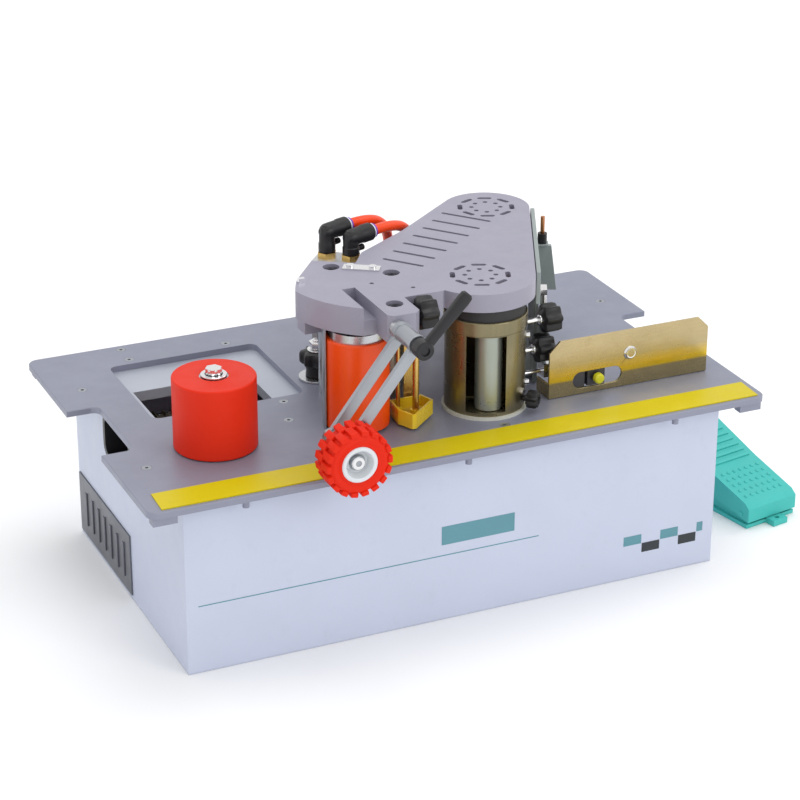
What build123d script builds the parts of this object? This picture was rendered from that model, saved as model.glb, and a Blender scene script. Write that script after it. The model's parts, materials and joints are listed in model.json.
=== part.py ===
# Bench-top edge banding machine: a sheet-metal cabinet with an aluminium table, a cast
# head that carries the feed roller and the glue pot, a press wheel, a fence and a foot
# pedal. Millimetres. Origin: centre of the cabinet's footprint on the floor.
# +X runs along the table in the feed direction, +Y to the back, +Z up.
from build123d import *
from math import asin, atan, atan2, cos, degrees, hypot, pi, radians, sin, tan
import os

os.makedirs("parts", exist_ok=True)

# ---- clearances ------------------------------------------------------------------
RUN_FIT = 0.05          # radial clearance of a shaft in its bore
GAP = 0.4               # clearance between a moving face and its neighbour
HOLE_FIT = 0.2          # radial clearance of a screw in its hole

# ---- cabinet and table -----------------------------------------------------------
CABINET_LENGTH = 526.0
CABINET_DEPTH = 303.0
SHEET = 1.5
FLANGE = 8.0
TABLE_LENGTH = 600.0
TABLE_DEPTH = 356.0
TABLE_OFFSET_Y = 4.5    # the table stands further out at the back than at the front
TABLE_UNDER = 168.0
TABLE_THICK = 6.0
TABLE_TOP = TABLE_UNDER + TABLE_THICK
TABLE_CORNER = 10.0
NOTCH_LENGTH = 101.0
NOTCH_DEPTH = 30.0
NOTCH_ROUND = 8.0
HALF_TABLE = TABLE_LENGTH / 2
HALF_CABINET = CABINET_LENGTH / 2
HALF_DEPTH = CABINET_DEPTH / 2
TABLE_FRONT = TABLE_OFFSET_Y - TABLE_DEPTH / 2
TABLE_BACK = TABLE_OFFSET_Y + TABLE_DEPTH / 2

# ---- window over the electrics -----------------------------------------------------
WINDOW_X = (-233.5, -86.0)
WINDOW_Y = (7.0, 136.0)
LEDGE_MARGIN = 10.0
LEDGE_THICK = 2.0
LEDGE_DROP = 10.0
LEDGE_OPEN_X = (-227.0, -114.0)
LEDGE_OPEN_Y = (9.0, 84.0)

# ---- vent panel and hand cups ------------------------------------------------------
VENT_Y = (-2.0, 148.0)
VENT_Z = (5.0, 66.0)
CUP_LENGTH = 73.0
CUP_HEIGHT = 38.0
CUP_DEPTH = 26.0
CUP_WALL = 2.0
CUP_CENTRE_Z = 145.0
CUP_FLANGE = 3.5
CUP_ROUND = 10.0
CUP_Y = 20.5

# ---- yellow guide strip ------------------------------------------------------------
STRIP_THICK = 1.0
STRIP_X = (-287.5, 294.0)
STRIP_Y = (-169.5, -138.0)

# ---- guide roller at the tape inlet --------------------------------------------------
GUIDE_X = -201.0
GUIDE_Y = -66.5
GUIDE_R = 37.5
GUIDE_TOP = 241.0
BEARING_R = 13.0
BEARING_BORE = 5.0
BEARING_HEIGHT = 8.0

# ---- feed roller -------------------------------------------------------------------
FEED_X = -69.0
FEED_Y = -76.0
FEED_R = 29.0
FEED_CORE_R = 24.0
FEED_CAP_R = 26.0
FEED_TOP = 261.0
FEED_SHAFT_R = 8.0

# ---- head casting ------------------------------------------------------------------
HEAD_TOP = 297.0
HEAD_UNDER = 271.0      # under the solid left lobe and the front arm
SKIRT_UNDER = 280.0     # under the hollow belt cover on the right
HEAD_SKIN = 5.0
SKIRT_WALL = 3.0
FRONT_LOBE = (53.0, -73.0, 50.0)
REAR_LOBE = (137.0, 87.0, 42.0)
LEFT_LOBE = (12.0, 8.0, 25.0)
ARM_X = (-62.5, -32.0)
ARM_END = -132.0
ARM_CHAMFER = 5.0
ARM_ROOT_Y = -95.0
HEAD_BORE_DEPTH = 11.0
LOBE_FRONT_Y = -105.0
POCKET_X = (-75.0, -62.5)
POCKET_BACK = -56.0
POCKET_DEPTH = 12.0
BOLT_SPOTS = [(-62.0, -1.0), (-18.0, -36.0), (-46.0, -105.5)]
BOLT_SINK = 11.0
SET_SCREW_SPOTS = [(-44.7, -53.0), (-15.1, -76.8)]
SET_SCREW_R = 2.0
BOLT_HEAD_R = 6.5
BOLT_R = 4.0
BOLT_REACH = 12.0
SET_SCREW_LENGTH = 8.0
SOLID_END_X = 2.0
PIVOT_SEAT = 14.0
BOLT_BORE_R = 7.75
LOBE_BOSS_X = (-108.0, -90.0)
LOBE_BOSS_Y = (-50.0, -32.0)
LOBE_BOSS_UNDER = 257.0
PILLAR_R = 12.5

# ---- side wall along the belt cover --------------------------------------------------
WALL_SPAN = hypot(REAR_LOBE[0] - FRONT_LOBE[0], REAR_LOBE[1] - FRONT_LOBE[1])
WALL_GAP = 1.0
WALL_THICK = 4.0
WALL_START = 12.0
WALL_FOOT_START = 40.0
WALL_FOOT_END = 134.0
WALL_END = 184.0
WALL_TOP = 295.0
WALL_NOSE_UNDER = 264.0
LUG_Z = (214.0, 232.0)

# ---- belt drive --------------------------------------------------------------------
MOTOR_X = REAR_LOBE[0]
MOTOR_Y = REAR_LOBE[1]
MOTOR_SHAFT_R = 7.0
BELT_Z = (282.0, 290.0)
BELT_THICK = 2.0
REAR_PULLEY_R = 30.0
GLUE_PULLEY_R = 13.0
LOW_BELT_Z = (129.0, 137.0)
LOW_PULLEY_R = 22.0
MOTOR_R = 38.0
MOTOR_Z = (32.0, 112.0)
MOTOR_FLANGE = 84.0
STANDOFF_R = 4.0

# ---- glue pot ----------------------------------------------------------------------
POT_X = 54.0
POT_Y = -83.0
POT_R = 37.0
POT_WALL = 3.0
POT_BASE = 3.0
POT_FOOT = 2.0
POT_TOP = 268.0
LID_HEIGHT = 11.0
POT_WINDOW_ANGLE = 246.0
POT_WINDOW_WIDTH = 36.0
POT_WINDOW_Z = (180.5, 254.0)
GLUE_X = 48.0
GLUE_Y = -103.0
GLUE_ROLLER_R = 12.5
GLUE_ROLLER_TOP = 255.0
GLUE_SHAFT_R = 4.0

# ---- press wheel and its arm -------------------------------------------------------
PIVOT_X = -55.0
PIVOT_Z = 285.5
AXLE_X = -122.0
AXLE_Z = 199.0
WHEEL_R = 30.5
WHEEL_Y = (-205.0, -177.0)
WHEEL_HUB_R = 16.5
WHEEL_TEETH = 18
BAR_WIDTH = 10.0
BAR_END_R = 7.5
PIVOT_EYE_R = 9.0
AXLE_R = 4.0
HUB_RECESS = 9.0
REAR_BAR_Y = (-144.0, -139.0)
FRONT_BAR_Y = (-175.0, -170.0)
PIVOT_R = 5.0
LEVER_SEAT = 6.0
LEVER_Y = (-190.0, -178.0)
LEVER_TIP = (-14.0, 330.0)

# ---- pot adjusting knobs -----------------------------------------------------------
KNOB_Y = -80.0
KNOB_R = 14.0
KNOB_THICK = 18.0
UPPER_KNOB = (112.0, 246.5)
LOWER_KNOB = (106.0, 218.0)

# ---- fence -------------------------------------------------------------------------
FENCE_X = (111.7, 278.5)
FENCE_Y = (-100.0, -97.6)
FENCE_TOP = 230.0
FENCE_CHAMFER = 10.5
FENCE_RETURN_Y = -75.0
FENCE_LIFT = 0.4
SLOT_X = 162.0
SLOT_Z = 188.0
SLOT_LENGTH = 51.0
SLOT_HEIGHT = 16.0
RAIL_X = (134.0, 276.0)
RAIL_GAP = 0.3
FENCE_SCREW_X = 195.5
FENCE_SCREW_Z = 207.0

# ---- air cylinder, elbows and hoses -------------------------------------------------
CYLINDER_ANGLE = -41.0
CYLINDER_SPOT = (-29.0, 58.0)
CYLINDER_SIZE = (46.0, 30.0)
CYLINDER_Z = (236.0, 280.0)
PISTON_R = 11.0
PISTON_ROD_R = 5.0
ELBOW_LEFT = (-38.0, 66.0, 305.0)
ELBOW_RIGHT = (-20.3, 50.5, 301.5)
ELBOW_ANGLE = 20.0
ELBOW_REACH = 26.0
ELBOW_R = 7.5
COLLET_LENGTH = 2.5
HOSE_R = 5.0
BULKHEAD_TOP = 190.0

# ---- foot pedal --------------------------------------------------------------------
PEDAL_ANGLE = 11.0
PEDAL_NEAR = (360.0, -103.0)
PEDAL_WIDTH = 62.0
PEDAL_LENGTH = 125.0
PEDAL_LOW = 26.0
PEDAL_HIGH = 62.0
PEDAL_PIN_Z = 13.0
PEDAL_PIN_Y = 9.0
PEDAL_PIN_R = 2.5


# ---- shape helpers -----------------------------------------------------------------
def block(x_range, y_range, z_range):
    """Box between two limits on each axis."""
    x0, x1 = x_range
    y0, y1 = y_range
    z0, z1 = z_range
    return Pos((x0 + x1) / 2, (y0 + y1) / 2, (z0 + z1) / 2) * Box(x1 - x0, y1 - y0, z1 - z0)


def disc(x, y, z_range, radius):
    """Upright cylinder."""
    z0, z1 = z_range
    return Pos(x, y, (z0 + z1) / 2) * Cylinder(radius, z1 - z0)


def ring(x, y, z_range, outer, inner):
    """Upright tube."""
    return disc(x, y, z_range, outer) - disc(x, y, z_range, inner)


def rod_x(x_range, y, z, radius):
    """Cylinder along X."""
    x0, x1 = x_range
    return Pos((x0 + x1) / 2, y, z) * Rot(0, 90, 0) * Cylinder(radius, x1 - x0)


def rod_y(x, y_range, z, radius):
    """Cylinder along Y."""
    y0, y1 = y_range
    return Pos(x, (y0 + y1) / 2, z) * Rot(90, 0, 0) * Cylinder(radius, y1 - y0)


def plate(face, z_range):
    """Flat face on the XY plane, raised to a height range."""
    z0, z1 = z_range
    return Pos(0, 0, z0) * extrude(face, z1 - z0)


def polygon(points):
    """Flat face from corner points."""
    return make_face(Polyline(*points, close=True))


def hex_prism(x, y, z_range, across_flats):
    """Upright hexagon, such as a bolt head or nut."""
    z0, z1 = z_range
    return Pos(x, y, z0) * extrude(RegularPolygon(across_flats / 2, 6, major_radius=False), z1 - z0)


def joined(shapes):
    """One solid from touching or overlapping shapes."""
    result = shapes[0]
    for shape in shapes[1:]:
        result = result + shape
    return result


def apart(shapes):
    """Group of separate solids."""
    return Compound(children=[solid for shape in shapes for solid in shape.solids()])


def hull_of_lobes(*lobes):
    """Outline that wraps circles given as (x, y, radius)."""
    circles = [Pos(x, y) * Circle(radius) for x, y, radius in lobes]
    edges = [edge for circle in circles for edge in circle.edges()]
    return make_hull(edges)


def star_knob(radius, thick, lobes=6):
    """Star knob standing on the XY plane, with scalloped sides and a domed boss."""
    body = Cylinder(radius, thick, align=(Align.CENTER, Align.CENTER, Align.MIN))
    scallop_r = radius * 0.34
    for index in range(lobes):
        angle = 2 * pi * index / lobes
        out = radius * 1.08
        body = body - Pos(out * cos(angle), out * sin(angle), thick / 2) * Cylinder(scallop_r, thick * 2)
    return body


def star_knob_x(x, y, z, radius, thick):
    """Star knob whose axis runs along +X, starting at x."""
    return Pos(x, y, z) * Rot(0, 90, 0) * star_knob(radius, thick)


# ---- cabinet -----------------------------------------------------------------------
def cup_block(x_range, grow):
    """Rounded block along X with the outline of a hand cup, grown by a margin."""
    x0, x1 = x_range
    height = CUP_HEIGHT + 2 * grow
    length = CUP_LENGTH + 2 * grow
    outline = RectangleRounded(length, height, CUP_ROUND + grow)
    placed = Plane(origin=(x0, CUP_Y, CUP_CENTRE_Z), x_dir=(0, 1, 0), z_dir=(1, 0, 0)) * outline
    return extrude(placed, x1 - x0)


def cabinet_shell():
    outer = block((-HALF_CABINET, HALF_CABINET), (-HALF_DEPTH, HALF_DEPTH), (SHEET, TABLE_UNDER))
    inner = block(
        (-HALF_CABINET + SHEET, HALF_CABINET - SHEET),
        (-HALF_DEPTH + SHEET, HALF_DEPTH - SHEET),
        (0, TABLE_UNDER - SHEET),
    )
    mouth = block(
        (-HALF_CABINET + FLANGE, HALF_CABINET - FLANGE),
        (-HALF_DEPTH + FLANGE, HALF_DEPTH - FLANGE),
        (TABLE_UNDER - 2 * SHEET, TABLE_UNDER),
    )
    shell = outer - inner - mouth
    for side in (-1, 1):
        wall = sorted((side * (HALF_CABINET - 2 * SHEET), side * (HALF_CABINET + SHEET)))
        shell = shell - cup_block(wall, HOLE_FIT)
    vent_margin = 8.0
    vent = block(
        (-HALF_CABINET - SHEET, -HALF_CABINET + 2 * SHEET),
        (VENT_Y[0] + vent_margin, VENT_Y[1] - vent_margin),
        (VENT_Z[0] + vent_margin, VENT_Z[1] - vent_margin),
    )
    inlet = block((150, 226), (HALF_DEPTH - 2 * SHEET, HALF_DEPTH + SHEET), (52, 98))
    for x, y in LEDGE_SCREWS:
        shell = shell - disc(x, y, (TABLE_UNDER - 2 * SHEET, TABLE_UNDER + 1), SCREW_SHANK_R + HOLE_FIT)
    return shell - vent - inlet


def bottom_plate():
    return block((-HALF_CABINET, HALF_CABINET), (-HALF_DEPTH, HALF_DEPTH), (0, SHEET))


def vent_panel():
    """Steel louvre panel on the outside of the left wall."""
    panel = block((-HALF_CABINET - SHEET, -HALF_CABINET), VENT_Y, VENT_Z)
    slots = 7
    first_y = VENT_Y[0] + 20
    pitch = (VENT_Y[1] - VENT_Y[0] - 40) / (slots - 1)
    for index in range(slots):
        slot_y = first_y + pitch * index
        panel = panel - block(
            (-HALF_CABINET - 2 * SHEET, -HALF_CABINET + SHEET),
            (slot_y - 2, slot_y + 2),
            (VENT_Z[0] + 14, VENT_Z[1] - 14),
        )
    return panel


def hand_cups():
    """Recessed black hand cups in both end walls, under the table's notches."""
    cups = []
    for side in (-1, 1):
        face = side * HALF_CABINET
        depth = sorted((face, face - side * CUP_DEPTH))
        hollow = sorted((face + side * 3 * CUP_WALL, face - side * (CUP_DEPTH - CUP_WALL)))
        flange = sorted((face, face + side * CUP_WALL))
        cup = cup_block(depth, 0) + cup_block(flange, CUP_FLANGE)
        cups.append(cup - cup_block(hollow, -CUP_WALL))
    return apart(cups)


# ---- table -------------------------------------------------------------------------
CORNER_SCREWS = [(x, y) for x in (-272.0, 272.0) for y in (-86.0, 96.0)]
LEDGE_SCREWS = [(x, y) for x in (-209.5, -111.5) for y in (-4.0, 146.5)]
OTHER_SCREWS = [(-209.0, 172.5), (-122.5, -43.5), (51.0, -132.0)]
SCREW_HEAD_R = 4.5
SCREW_HEAD = 2.6
SCREW_SHANK_R = 2.4
SCREW_LENGTH = 12.0
HOSE_ENDS = [(54.0, 134.0), (80.0, 132.0)]
MOTOR_CLEAR_R = 12.0
HOUSING_R = 36.0


def table_plate():
    outline = Pos(0, TABLE_OFFSET_Y) * RectangleRounded(TABLE_LENGTH, TABLE_DEPTH, TABLE_CORNER)
    for side in (-1, 1):
        notch = RectangleRounded(2 * NOTCH_DEPTH, NOTCH_LENGTH, NOTCH_ROUND)
        outline = outline - Pos(side * HALF_TABLE, TABLE_OFFSET_Y) * notch
    window_mid = (sum(WINDOW_X) / 2, sum(WINDOW_Y) / 2)
    window = RectangleRounded(WINDOW_X[1] - WINDOW_X[0], WINDOW_Y[1] - WINDOW_Y[0], 8)
    outline = outline - Pos(*window_mid) * window
    slab = plate(outline, (TABLE_UNDER, TABLE_TOP))
    slab = chamfer(slab.faces().sort_by(Axis.Z)[-1].outer_wire().edges(), 0.8)
    through = (TABLE_UNDER - 1, TABLE_TOP + 1)
    for x, y in CORNER_SCREWS + LEDGE_SCREWS + OTHER_SCREWS:
        slab = slab - disc(x, y, through, SCREW_SHANK_R + HOLE_FIT)
        slab = slab - disc(x, y, (TABLE_TOP - SCREW_HEAD, TABLE_TOP + 1), SCREW_HEAD_R + HOLE_FIT)
    slab = slab - disc(GUIDE_X, GUIDE_Y, through, BEARING_BORE - RUN_FIT + HOLE_FIT)
    slab = slab - disc(FEED_X, FEED_Y, through, FEED_SHAFT_R + RUN_FIT)
    slab = slab - disc(MOTOR_X, MOTOR_Y, through, MOTOR_CLEAR_R)
    for x, y in HOSE_ENDS:
        slab = slab - disc(x, y, through, BULKHEAD_NECK_R + HOLE_FIT)
    return slab


def table_screws():
    """Countersunk screws in the table, heads flush with its top."""
    screws = []
    for x, y in CORNER_SCREWS + LEDGE_SCREWS + OTHER_SCREWS:
        head = disc(x, y, (TABLE_TOP - SCREW_HEAD, TABLE_TOP), SCREW_HEAD_R)
        socket = hex_prism(x, y, (TABLE_TOP - SCREW_HEAD / 2, TABLE_TOP + 1), 3.0)
        shank = disc(x, y, (TABLE_TOP - SCREW_LENGTH, TABLE_TOP - SCREW_HEAD), SCREW_SHANK_R)
        screws.append(head + shank - socket)
    return apart(screws)


def table_spacers():
    """Corner bosses, front pegs and nut blocks under the table's overhang."""
    pieces = []
    boss_drop = 8.0
    boss_z = (TABLE_UNDER - boss_drop, TABLE_UNDER)
    for side in (-1, 1):
        for y_range in ((TABLE_FRONT + 3, TABLE_FRONT + 13), (TABLE_BACK - 13, TABLE_BACK - 3)):
            pieces.append(block(sorted((side * 274, side * 296)), y_range, boss_z))
    for x in (-211.0, -1.0, 208.0):
        pieces.append(disc(x, TABLE_FRONT + 8, boss_z, 3))
    for x, y in CORNER_SCREWS:
        nut = block((x - 8, x + 8), (y - 8, y + 8), boss_z)
        pieces.append(nut - disc(x, y, (0, TABLE_TOP), SCREW_SHANK_R + RUN_FIT))
    return apart(pieces)


def edge_strip():
    """Yellow wear strip along the front of the table, with slanted ends."""
    slant = 1.5
    corners = [
        (STRIP_X[0] + slant, STRIP_Y[1]),
        (STRIP_X[0], STRIP_Y[0]),
        (STRIP_X[1] - slant, STRIP_Y[0]),
        (STRIP_X[1], STRIP_Y[1]),
    ]
    return plate(polygon(corners), (TABLE_TOP, TABLE_TOP + STRIP_THICK))


def window_ledge():
    """Folded sheet under the window, with down-turned inner edges."""
    x0 = WINDOW_X[0] - LEDGE_MARGIN
    x1 = WINDOW_X[1] + LEDGE_MARGIN
    y0 = WINDOW_Y[0] - 2 * LEDGE_MARGIN
    y1 = WINDOW_Y[1] + 2 * LEDGE_MARGIN
    y1 = min(y1, HALF_DEPTH - FLANGE - GAP)
    sheet = block((x0, x1), (y0, y1), (TABLE_UNDER - LEDGE_THICK, TABLE_UNDER))
    drop = (TABLE_UNDER - LEDGE_DROP, TABLE_UNDER - LEDGE_THICK)
    flange = block(
        (LEDGE_OPEN_X[0] - SHEET, LEDGE_OPEN_X[1] + SHEET),
        (LEDGE_OPEN_Y[0] - SHEET, LEDGE_OPEN_Y[1] + SHEET),
        drop,
    )
    opening = block(LEDGE_OPEN_X, LEDGE_OPEN_Y, (TABLE_UNDER - 2 * LEDGE_DROP, TABLE_TOP))
    ledge = sheet + flange - opening
    for x, y in LEDGE_SCREWS + OTHER_SCREWS:
        ledge = ledge - disc(x, y, (0, TABLE_TOP), SCREW_SHANK_R + HOLE_FIT)
    return ledge


def electrics():
    """Controller box with a finned cooler and a terminal row, seen through the window."""
    box_x = (-232.0, -106.0)
    box_y = (-24.0, 104.0)
    box_top = 112.0
    box = block(box_x, box_y, (SHEET, box_top))
    cooler_x = (-226.0, -178.0)
    cooler_y = (14.0, 80.0)
    fin_top = 136.0
    cooler = block(cooler_x, cooler_y, (box_top, box_top + 6))
    fins = 8
    pitch = (cooler_y[1] - cooler_y[0] - 3) / (fins - 1)
    for index in range(fins):
        fin_y = cooler_y[0] + pitch * index
        cooler = cooler + block(cooler_x, (fin_y, fin_y + 3), (box_top + 6, fin_top))
    terminals = []
    terminal_count = 6
    for index in range(terminal_count):
        x0 = -170.0 + index * 9.5
        body = block((x0, x0 + 9), (40, 72), (box_top, box_top + 22))
        terminals.append(body - disc(x0 + 4.5, 47, (box_top + 18, box_top + 23), 2.6))
    relay = block((-170, -122), (-4, 30), (box_top, box_top + 16))
    return apart([box, cooler, relay] + terminals)


# ---- guide roller ------------------------------------------------------------------
GUIDE_UNDER = TABLE_TOP + 0.6
UPPER_BEARING = (GUIDE_TOP - 0.5 - BEARING_HEIGHT, GUIDE_TOP - 0.5)
LOWER_BEARING = (TABLE_TOP + 2, TABLE_TOP + 2 + BEARING_HEIGHT)
GUIDE_WASHER_R = 8.0


def guide_roller():
    body = ring(GUIDE_X, GUIDE_Y, (GUIDE_UNDER, GUIDE_TOP), GUIDE_R, BEARING_R)
    rims = [edge for edge in body.edges().filter_by(GeomType.CIRCLE) if edge.radius > BEARING_R + 1]
    return fillet(rims, 1.6)


def guide_bearings():
    rings = []
    for z_range in (UPPER_BEARING, LOWER_BEARING):
        rings.append(ring(GUIDE_X, GUIDE_Y, z_range, BEARING_R, BEARING_BORE))
    return apart(rings)


def guide_bolt():
    """Fixed bolt that the guide roller turns on, with its washer, collar and nut."""
    shank_r = BEARING_BORE - RUN_FIT
    head_under = GUIDE_TOP + 1.6
    shank = disc(GUIDE_X, GUIDE_Y, (TABLE_UNDER - 12, head_under), shank_r)
    washer = disc(GUIDE_X, GUIDE_Y, (UPPER_BEARING[1] + GAP, head_under), GUIDE_WASHER_R)
    head = hex_prism(GUIDE_X, GUIDE_Y, (head_under, head_under + 5.5), 13.0)
    collar = disc(GUIDE_X, GUIDE_Y, (TABLE_TOP, LOWER_BEARING[0] - GAP), GUIDE_WASHER_R)
    nut = hex_prism(GUIDE_X, GUIDE_Y, (TABLE_UNDER - 6.5, TABLE_UNDER), 13.0)
    return joined([shank, washer, head, collar, nut])


# ---- feed roller -------------------------------------------------------------------
FEED_UNDER = TABLE_TOP + 2


def feed_roller():
    tyre = ring(FEED_X, FEED_Y, (FEED_UNDER, FEED_TOP), FEED_R, FEED_CORE_R)
    rims = [edge for edge in tyre.edges().filter_by(GeomType.CIRCLE) if edge.radius > FEED_CORE_R + 1]
    return fillet(rims, 1.2)


def feed_shaft():
    """Steel core, top cap, shaft and lower pulley of the feed roller."""
    core = disc(FEED_X, FEED_Y, (FEED_UNDER, FEED_TOP), FEED_CORE_R)
    cap = disc(FEED_X, FEED_Y, (FEED_TOP, HEAD_UNDER - 2), FEED_CAP_R)
    shaft_top = HEAD_UNDER + HEAD_BORE_DEPTH - GAP
    shaft = disc(FEED_X, FEED_Y, (LOW_BELT_Z[0] - 6, shaft_top), FEED_SHAFT_R)
    pulley = disc(FEED_X, FEED_Y, LOW_BELT_Z, LOW_PULLEY_R)
    rim = disc(FEED_X, FEED_Y, (LOW_BELT_Z[0] - 2, LOW_BELT_Z[0] - GAP), LOW_PULLEY_R + 3)
    return joined([core, cap, shaft, pulley, rim])


# ---- head casting ------------------------------------------------------------------
LOBE_FRONT = (POCKET_X[0], LOBE_FRONT_Y)
LOBE_SIDE = (-113.8, -42.4)
LOBE_BACK = (-101.7, -17.0)
BACK_EDGE = [(-72.0, 21.0), (-38.0, -1.0), (-22.0, 22.0), (35.0, 59.0), (109.5, 118.5)]


def left_face():
    """Plan of the left lobe and the front arm, reaching under the belt cover."""
    right_shoulder = (6.0, -95.0)
    edges = [
        ThreePointArc(LOBE_FRONT, (-101.0, -77.2), LOBE_SIDE),
        ThreePointArc(LOBE_SIDE, (-108.0, -29.0), LOBE_BACK),
        Polyline(LOBE_BACK, *BACK_EDGE, REAR_LOBE[:2], FRONT_LOBE[:2], right_shoulder),
        Polyline(
            right_shoulder,
            (ARM_X[1], ARM_ROOT_Y),
            (ARM_X[1], ARM_END + ARM_CHAMFER),
            (ARM_X[1] - ARM_CHAMFER, ARM_END),
            (ARM_X[0] + ARM_CHAMFER, ARM_END),
            (ARM_X[0], ARM_END + ARM_CHAMFER),
            (ARM_X[0], LOBE_FRONT[1]),
            LOBE_FRONT,
        ),
    ]
    return make_face(edges)


GRILLE_COUNT = 8
GRILLE_SLOT = (14.0, 4.8)
GRILLE_SLOT_RING = 25.0
GRILLE_HOLE_RING = 14.0
GRILLE_HOLE_R = 2.3


def grille_cutters(x, y):
    """Ring of eight slots around a ring of eight holes, cut through the cover."""
    cutters = []
    depth = (HEAD_TOP - 2 * HEAD_SKIN, HEAD_TOP + 1)
    step = 360 / GRILLE_COUNT
    for index in range(GRILLE_COUNT):
        angle = step * (index + 0.5)
        slot = Pos(x, y, 0) * Rot(0, 0, angle) * Pos(GRILLE_SLOT_RING, 0, 0) * Rot(0, 0, 90)
        cutters.append(slot * plate(SlotOverall(*GRILLE_SLOT), depth))
        hole_x = x + GRILLE_HOLE_RING * cos(radians(angle))
        hole_y = y + GRILLE_HOLE_RING * sin(radians(angle))
        cutters.append(disc(hole_x, hole_y, depth, GRILLE_HOLE_R))
    return cutters


VENT_FIRST = (2.3, -16.9)
VENT_LAST = (106.8, 68.8)
VENT_COUNT = 7
VENT_ANGLE = -51.5
VENT_LENGTH = (42.0, 52.0)
VENT_WIDTH = 3.8


def vent_cutters():
    """Row of slanted cooling slots between the two grilles."""
    cutters = []
    depth = (HEAD_TOP - 2 * HEAD_SKIN, HEAD_TOP + 1)
    for index in range(VENT_COUNT):
        share = index / (VENT_COUNT - 1)
        x = VENT_FIRST[0] + (VENT_LAST[0] - VENT_FIRST[0]) * share
        y = VENT_FIRST[1] + (VENT_LAST[1] - VENT_FIRST[1]) * share
        length = VENT_LENGTH[0] + (VENT_LENGTH[1] - VENT_LENGTH[0]) * share
        slot = Pos(x, y, 0) * Rot(0, 0, VENT_ANGLE)
        cutters.append(slot * plate(SlotOverall(length, VENT_WIDTH), depth))
    return cutters


def inset(lobe, margin):
    """Smaller circle with the same centre."""
    return lobe[0], lobe[1], lobe[2] - margin


def head_casting():
    """Cast head: solid lobe and arm on the left, hollow belt cover on the right."""
    cover_face = hull_of_lobes(FRONT_LOBE, REAR_LOBE, LEFT_LOBE)
    hollow_lobes = [inset(lobe, SKIRT_WALL) for lobe in (FRONT_LOBE, REAR_LOBE, LEFT_LOBE)]
    left = left_face()
    hollow = plate(hull_of_lobes(*hollow_lobes), (SKIRT_UNDER, HEAD_TOP - HEAD_SKIN))
    cover = plate(left + cover_face, (SKIRT_UNDER, HEAD_TOP)) - hollow
    solid_side = block((-130, SOLID_END_X), (-140, 130), (HEAD_UNDER, SKIRT_UNDER))
    boss = block(LOBE_BOSS_X, LOBE_BOSS_Y, (LOBE_BOSS_UNDER, SKIRT_UNDER))
    casting = cover + (plate(left, (HEAD_UNDER, SKIRT_UNDER)) & solid_side) + boss
    pocket = block(
        POCKET_X,
        (LOBE_FRONT_Y - 1, POCKET_BACK),
        (HEAD_TOP - POCKET_DEPTH, HEAD_TOP + 1),
    )
    casting = casting - pocket
    for x, y in BOLT_SPOTS:
        casting = casting - disc(x, y, (HEAD_TOP - BOLT_SINK, HEAD_TOP + 1), BOLT_BORE_R)
        casting = casting - disc(x, y, (HEAD_UNDER - 1, HEAD_TOP), BOLT_R + HOLE_FIT)
    for x, y in SET_SCREW_SPOTS:
        casting = casting - disc(x, y, (HEAD_TOP - SET_SCREW_LENGTH, HEAD_TOP + 1), SET_SCREW_R)
    bearing = disc(FEED_X, FEED_Y, (HEAD_UNDER - 1, HEAD_UNDER + HEAD_BORE_DEPTH), FEED_SHAFT_R + RUN_FIT)
    casting = casting - bearing - pivot_hole()
    for cutter in grille_cutters(*FRONT_LOBE[:2]) + grille_cutters(*REAR_LOBE[:2]) + vent_cutters():
        casting = casting - cutter
    return casting


def pivot_hole():
    """Bore in the end of the arm for the press bars' stud."""
    return rod_y(PIVOT_X, (ARM_END - 1, ARM_END + PIVOT_SEAT), PIVOT_Z, PIVOT_R)


def head_pillars():
    """Two steel columns between the table and the head."""
    columns = []
    for x, y in BOLT_SPOTS[:2]:
        thread = disc(x, y, (HEAD_UNDER - BOLT_REACH - 2, HEAD_UNDER + 1), BOLT_R)
        columns.append(disc(x, y, (TABLE_TOP, HEAD_UNDER), PILLAR_R) - thread)
    return apart(columns)


def head_bolts():
    """Sunk cap screws in the head and the small set screws beside them."""
    bolts = []
    seat = HEAD_TOP - BOLT_SINK
    for x, y in BOLT_SPOTS:
        end = HEAD_UNDER - BOLT_REACH if (x, y) in BOLT_SPOTS[:2] else HEAD_UNDER
        head = disc(x, y, (seat, seat + 8), BOLT_HEAD_R)
        socket = hex_prism(x, y, (seat + 4, seat + 9), 6.0)
        bolts.append(head + disc(x, y, (end, seat), BOLT_R - RUN_FIT) - socket)
    for x, y in SET_SCREW_SPOTS:
        bolts.append(disc(x, y, (HEAD_TOP - SET_SCREW_LENGTH, HEAD_TOP - 0.5), SET_SCREW_R - RUN_FIT))
    return apart(bolts)


def clip_plate():
    """Strap with two screws beside the air cylinder, and a small clip on the left lobe."""
    angle = -33.0
    centre = (-38.5, -16.0)
    strap = Pos(*centre, HEAD_TOP + 0.75) * Rot(0, 0, angle) * Box(34, 12, 1.5)
    screws = []
    for along in (-10.3, 10.3):
        x = centre[0] + along * cos(radians(angle))
        y = centre[1] + along * sin(radians(angle))
        screws.append(disc(x, y, (HEAD_TOP + 1.5, HEAD_TOP + 3.5), 3.6))
    clip = block((-104, -98), (-27, -23), (HEAD_TOP, HEAD_TOP + 4))
    return apart([joined([strap] + screws), clip])


# ---- belt drive --------------------------------------------------------------------

def belt_loop(first, second, z_range):
    """Flat belt around two pulleys given as (x, y, radius)."""
    inner = [(x, y, radius + GAP) for x, y, radius in (first, second)]
    outer = [(x, y, radius + GAP + BELT_THICK) for x, y, radius in (first, second)]
    return plate(hull_of_lobes(*outer) - hull_of_lobes(*inner), z_range)


def drive_belt():
    return belt_loop((MOTOR_X, MOTOR_Y, REAR_PULLEY_R), (GLUE_X, GLUE_Y, GLUE_PULLEY_R), BELT_Z)


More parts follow.
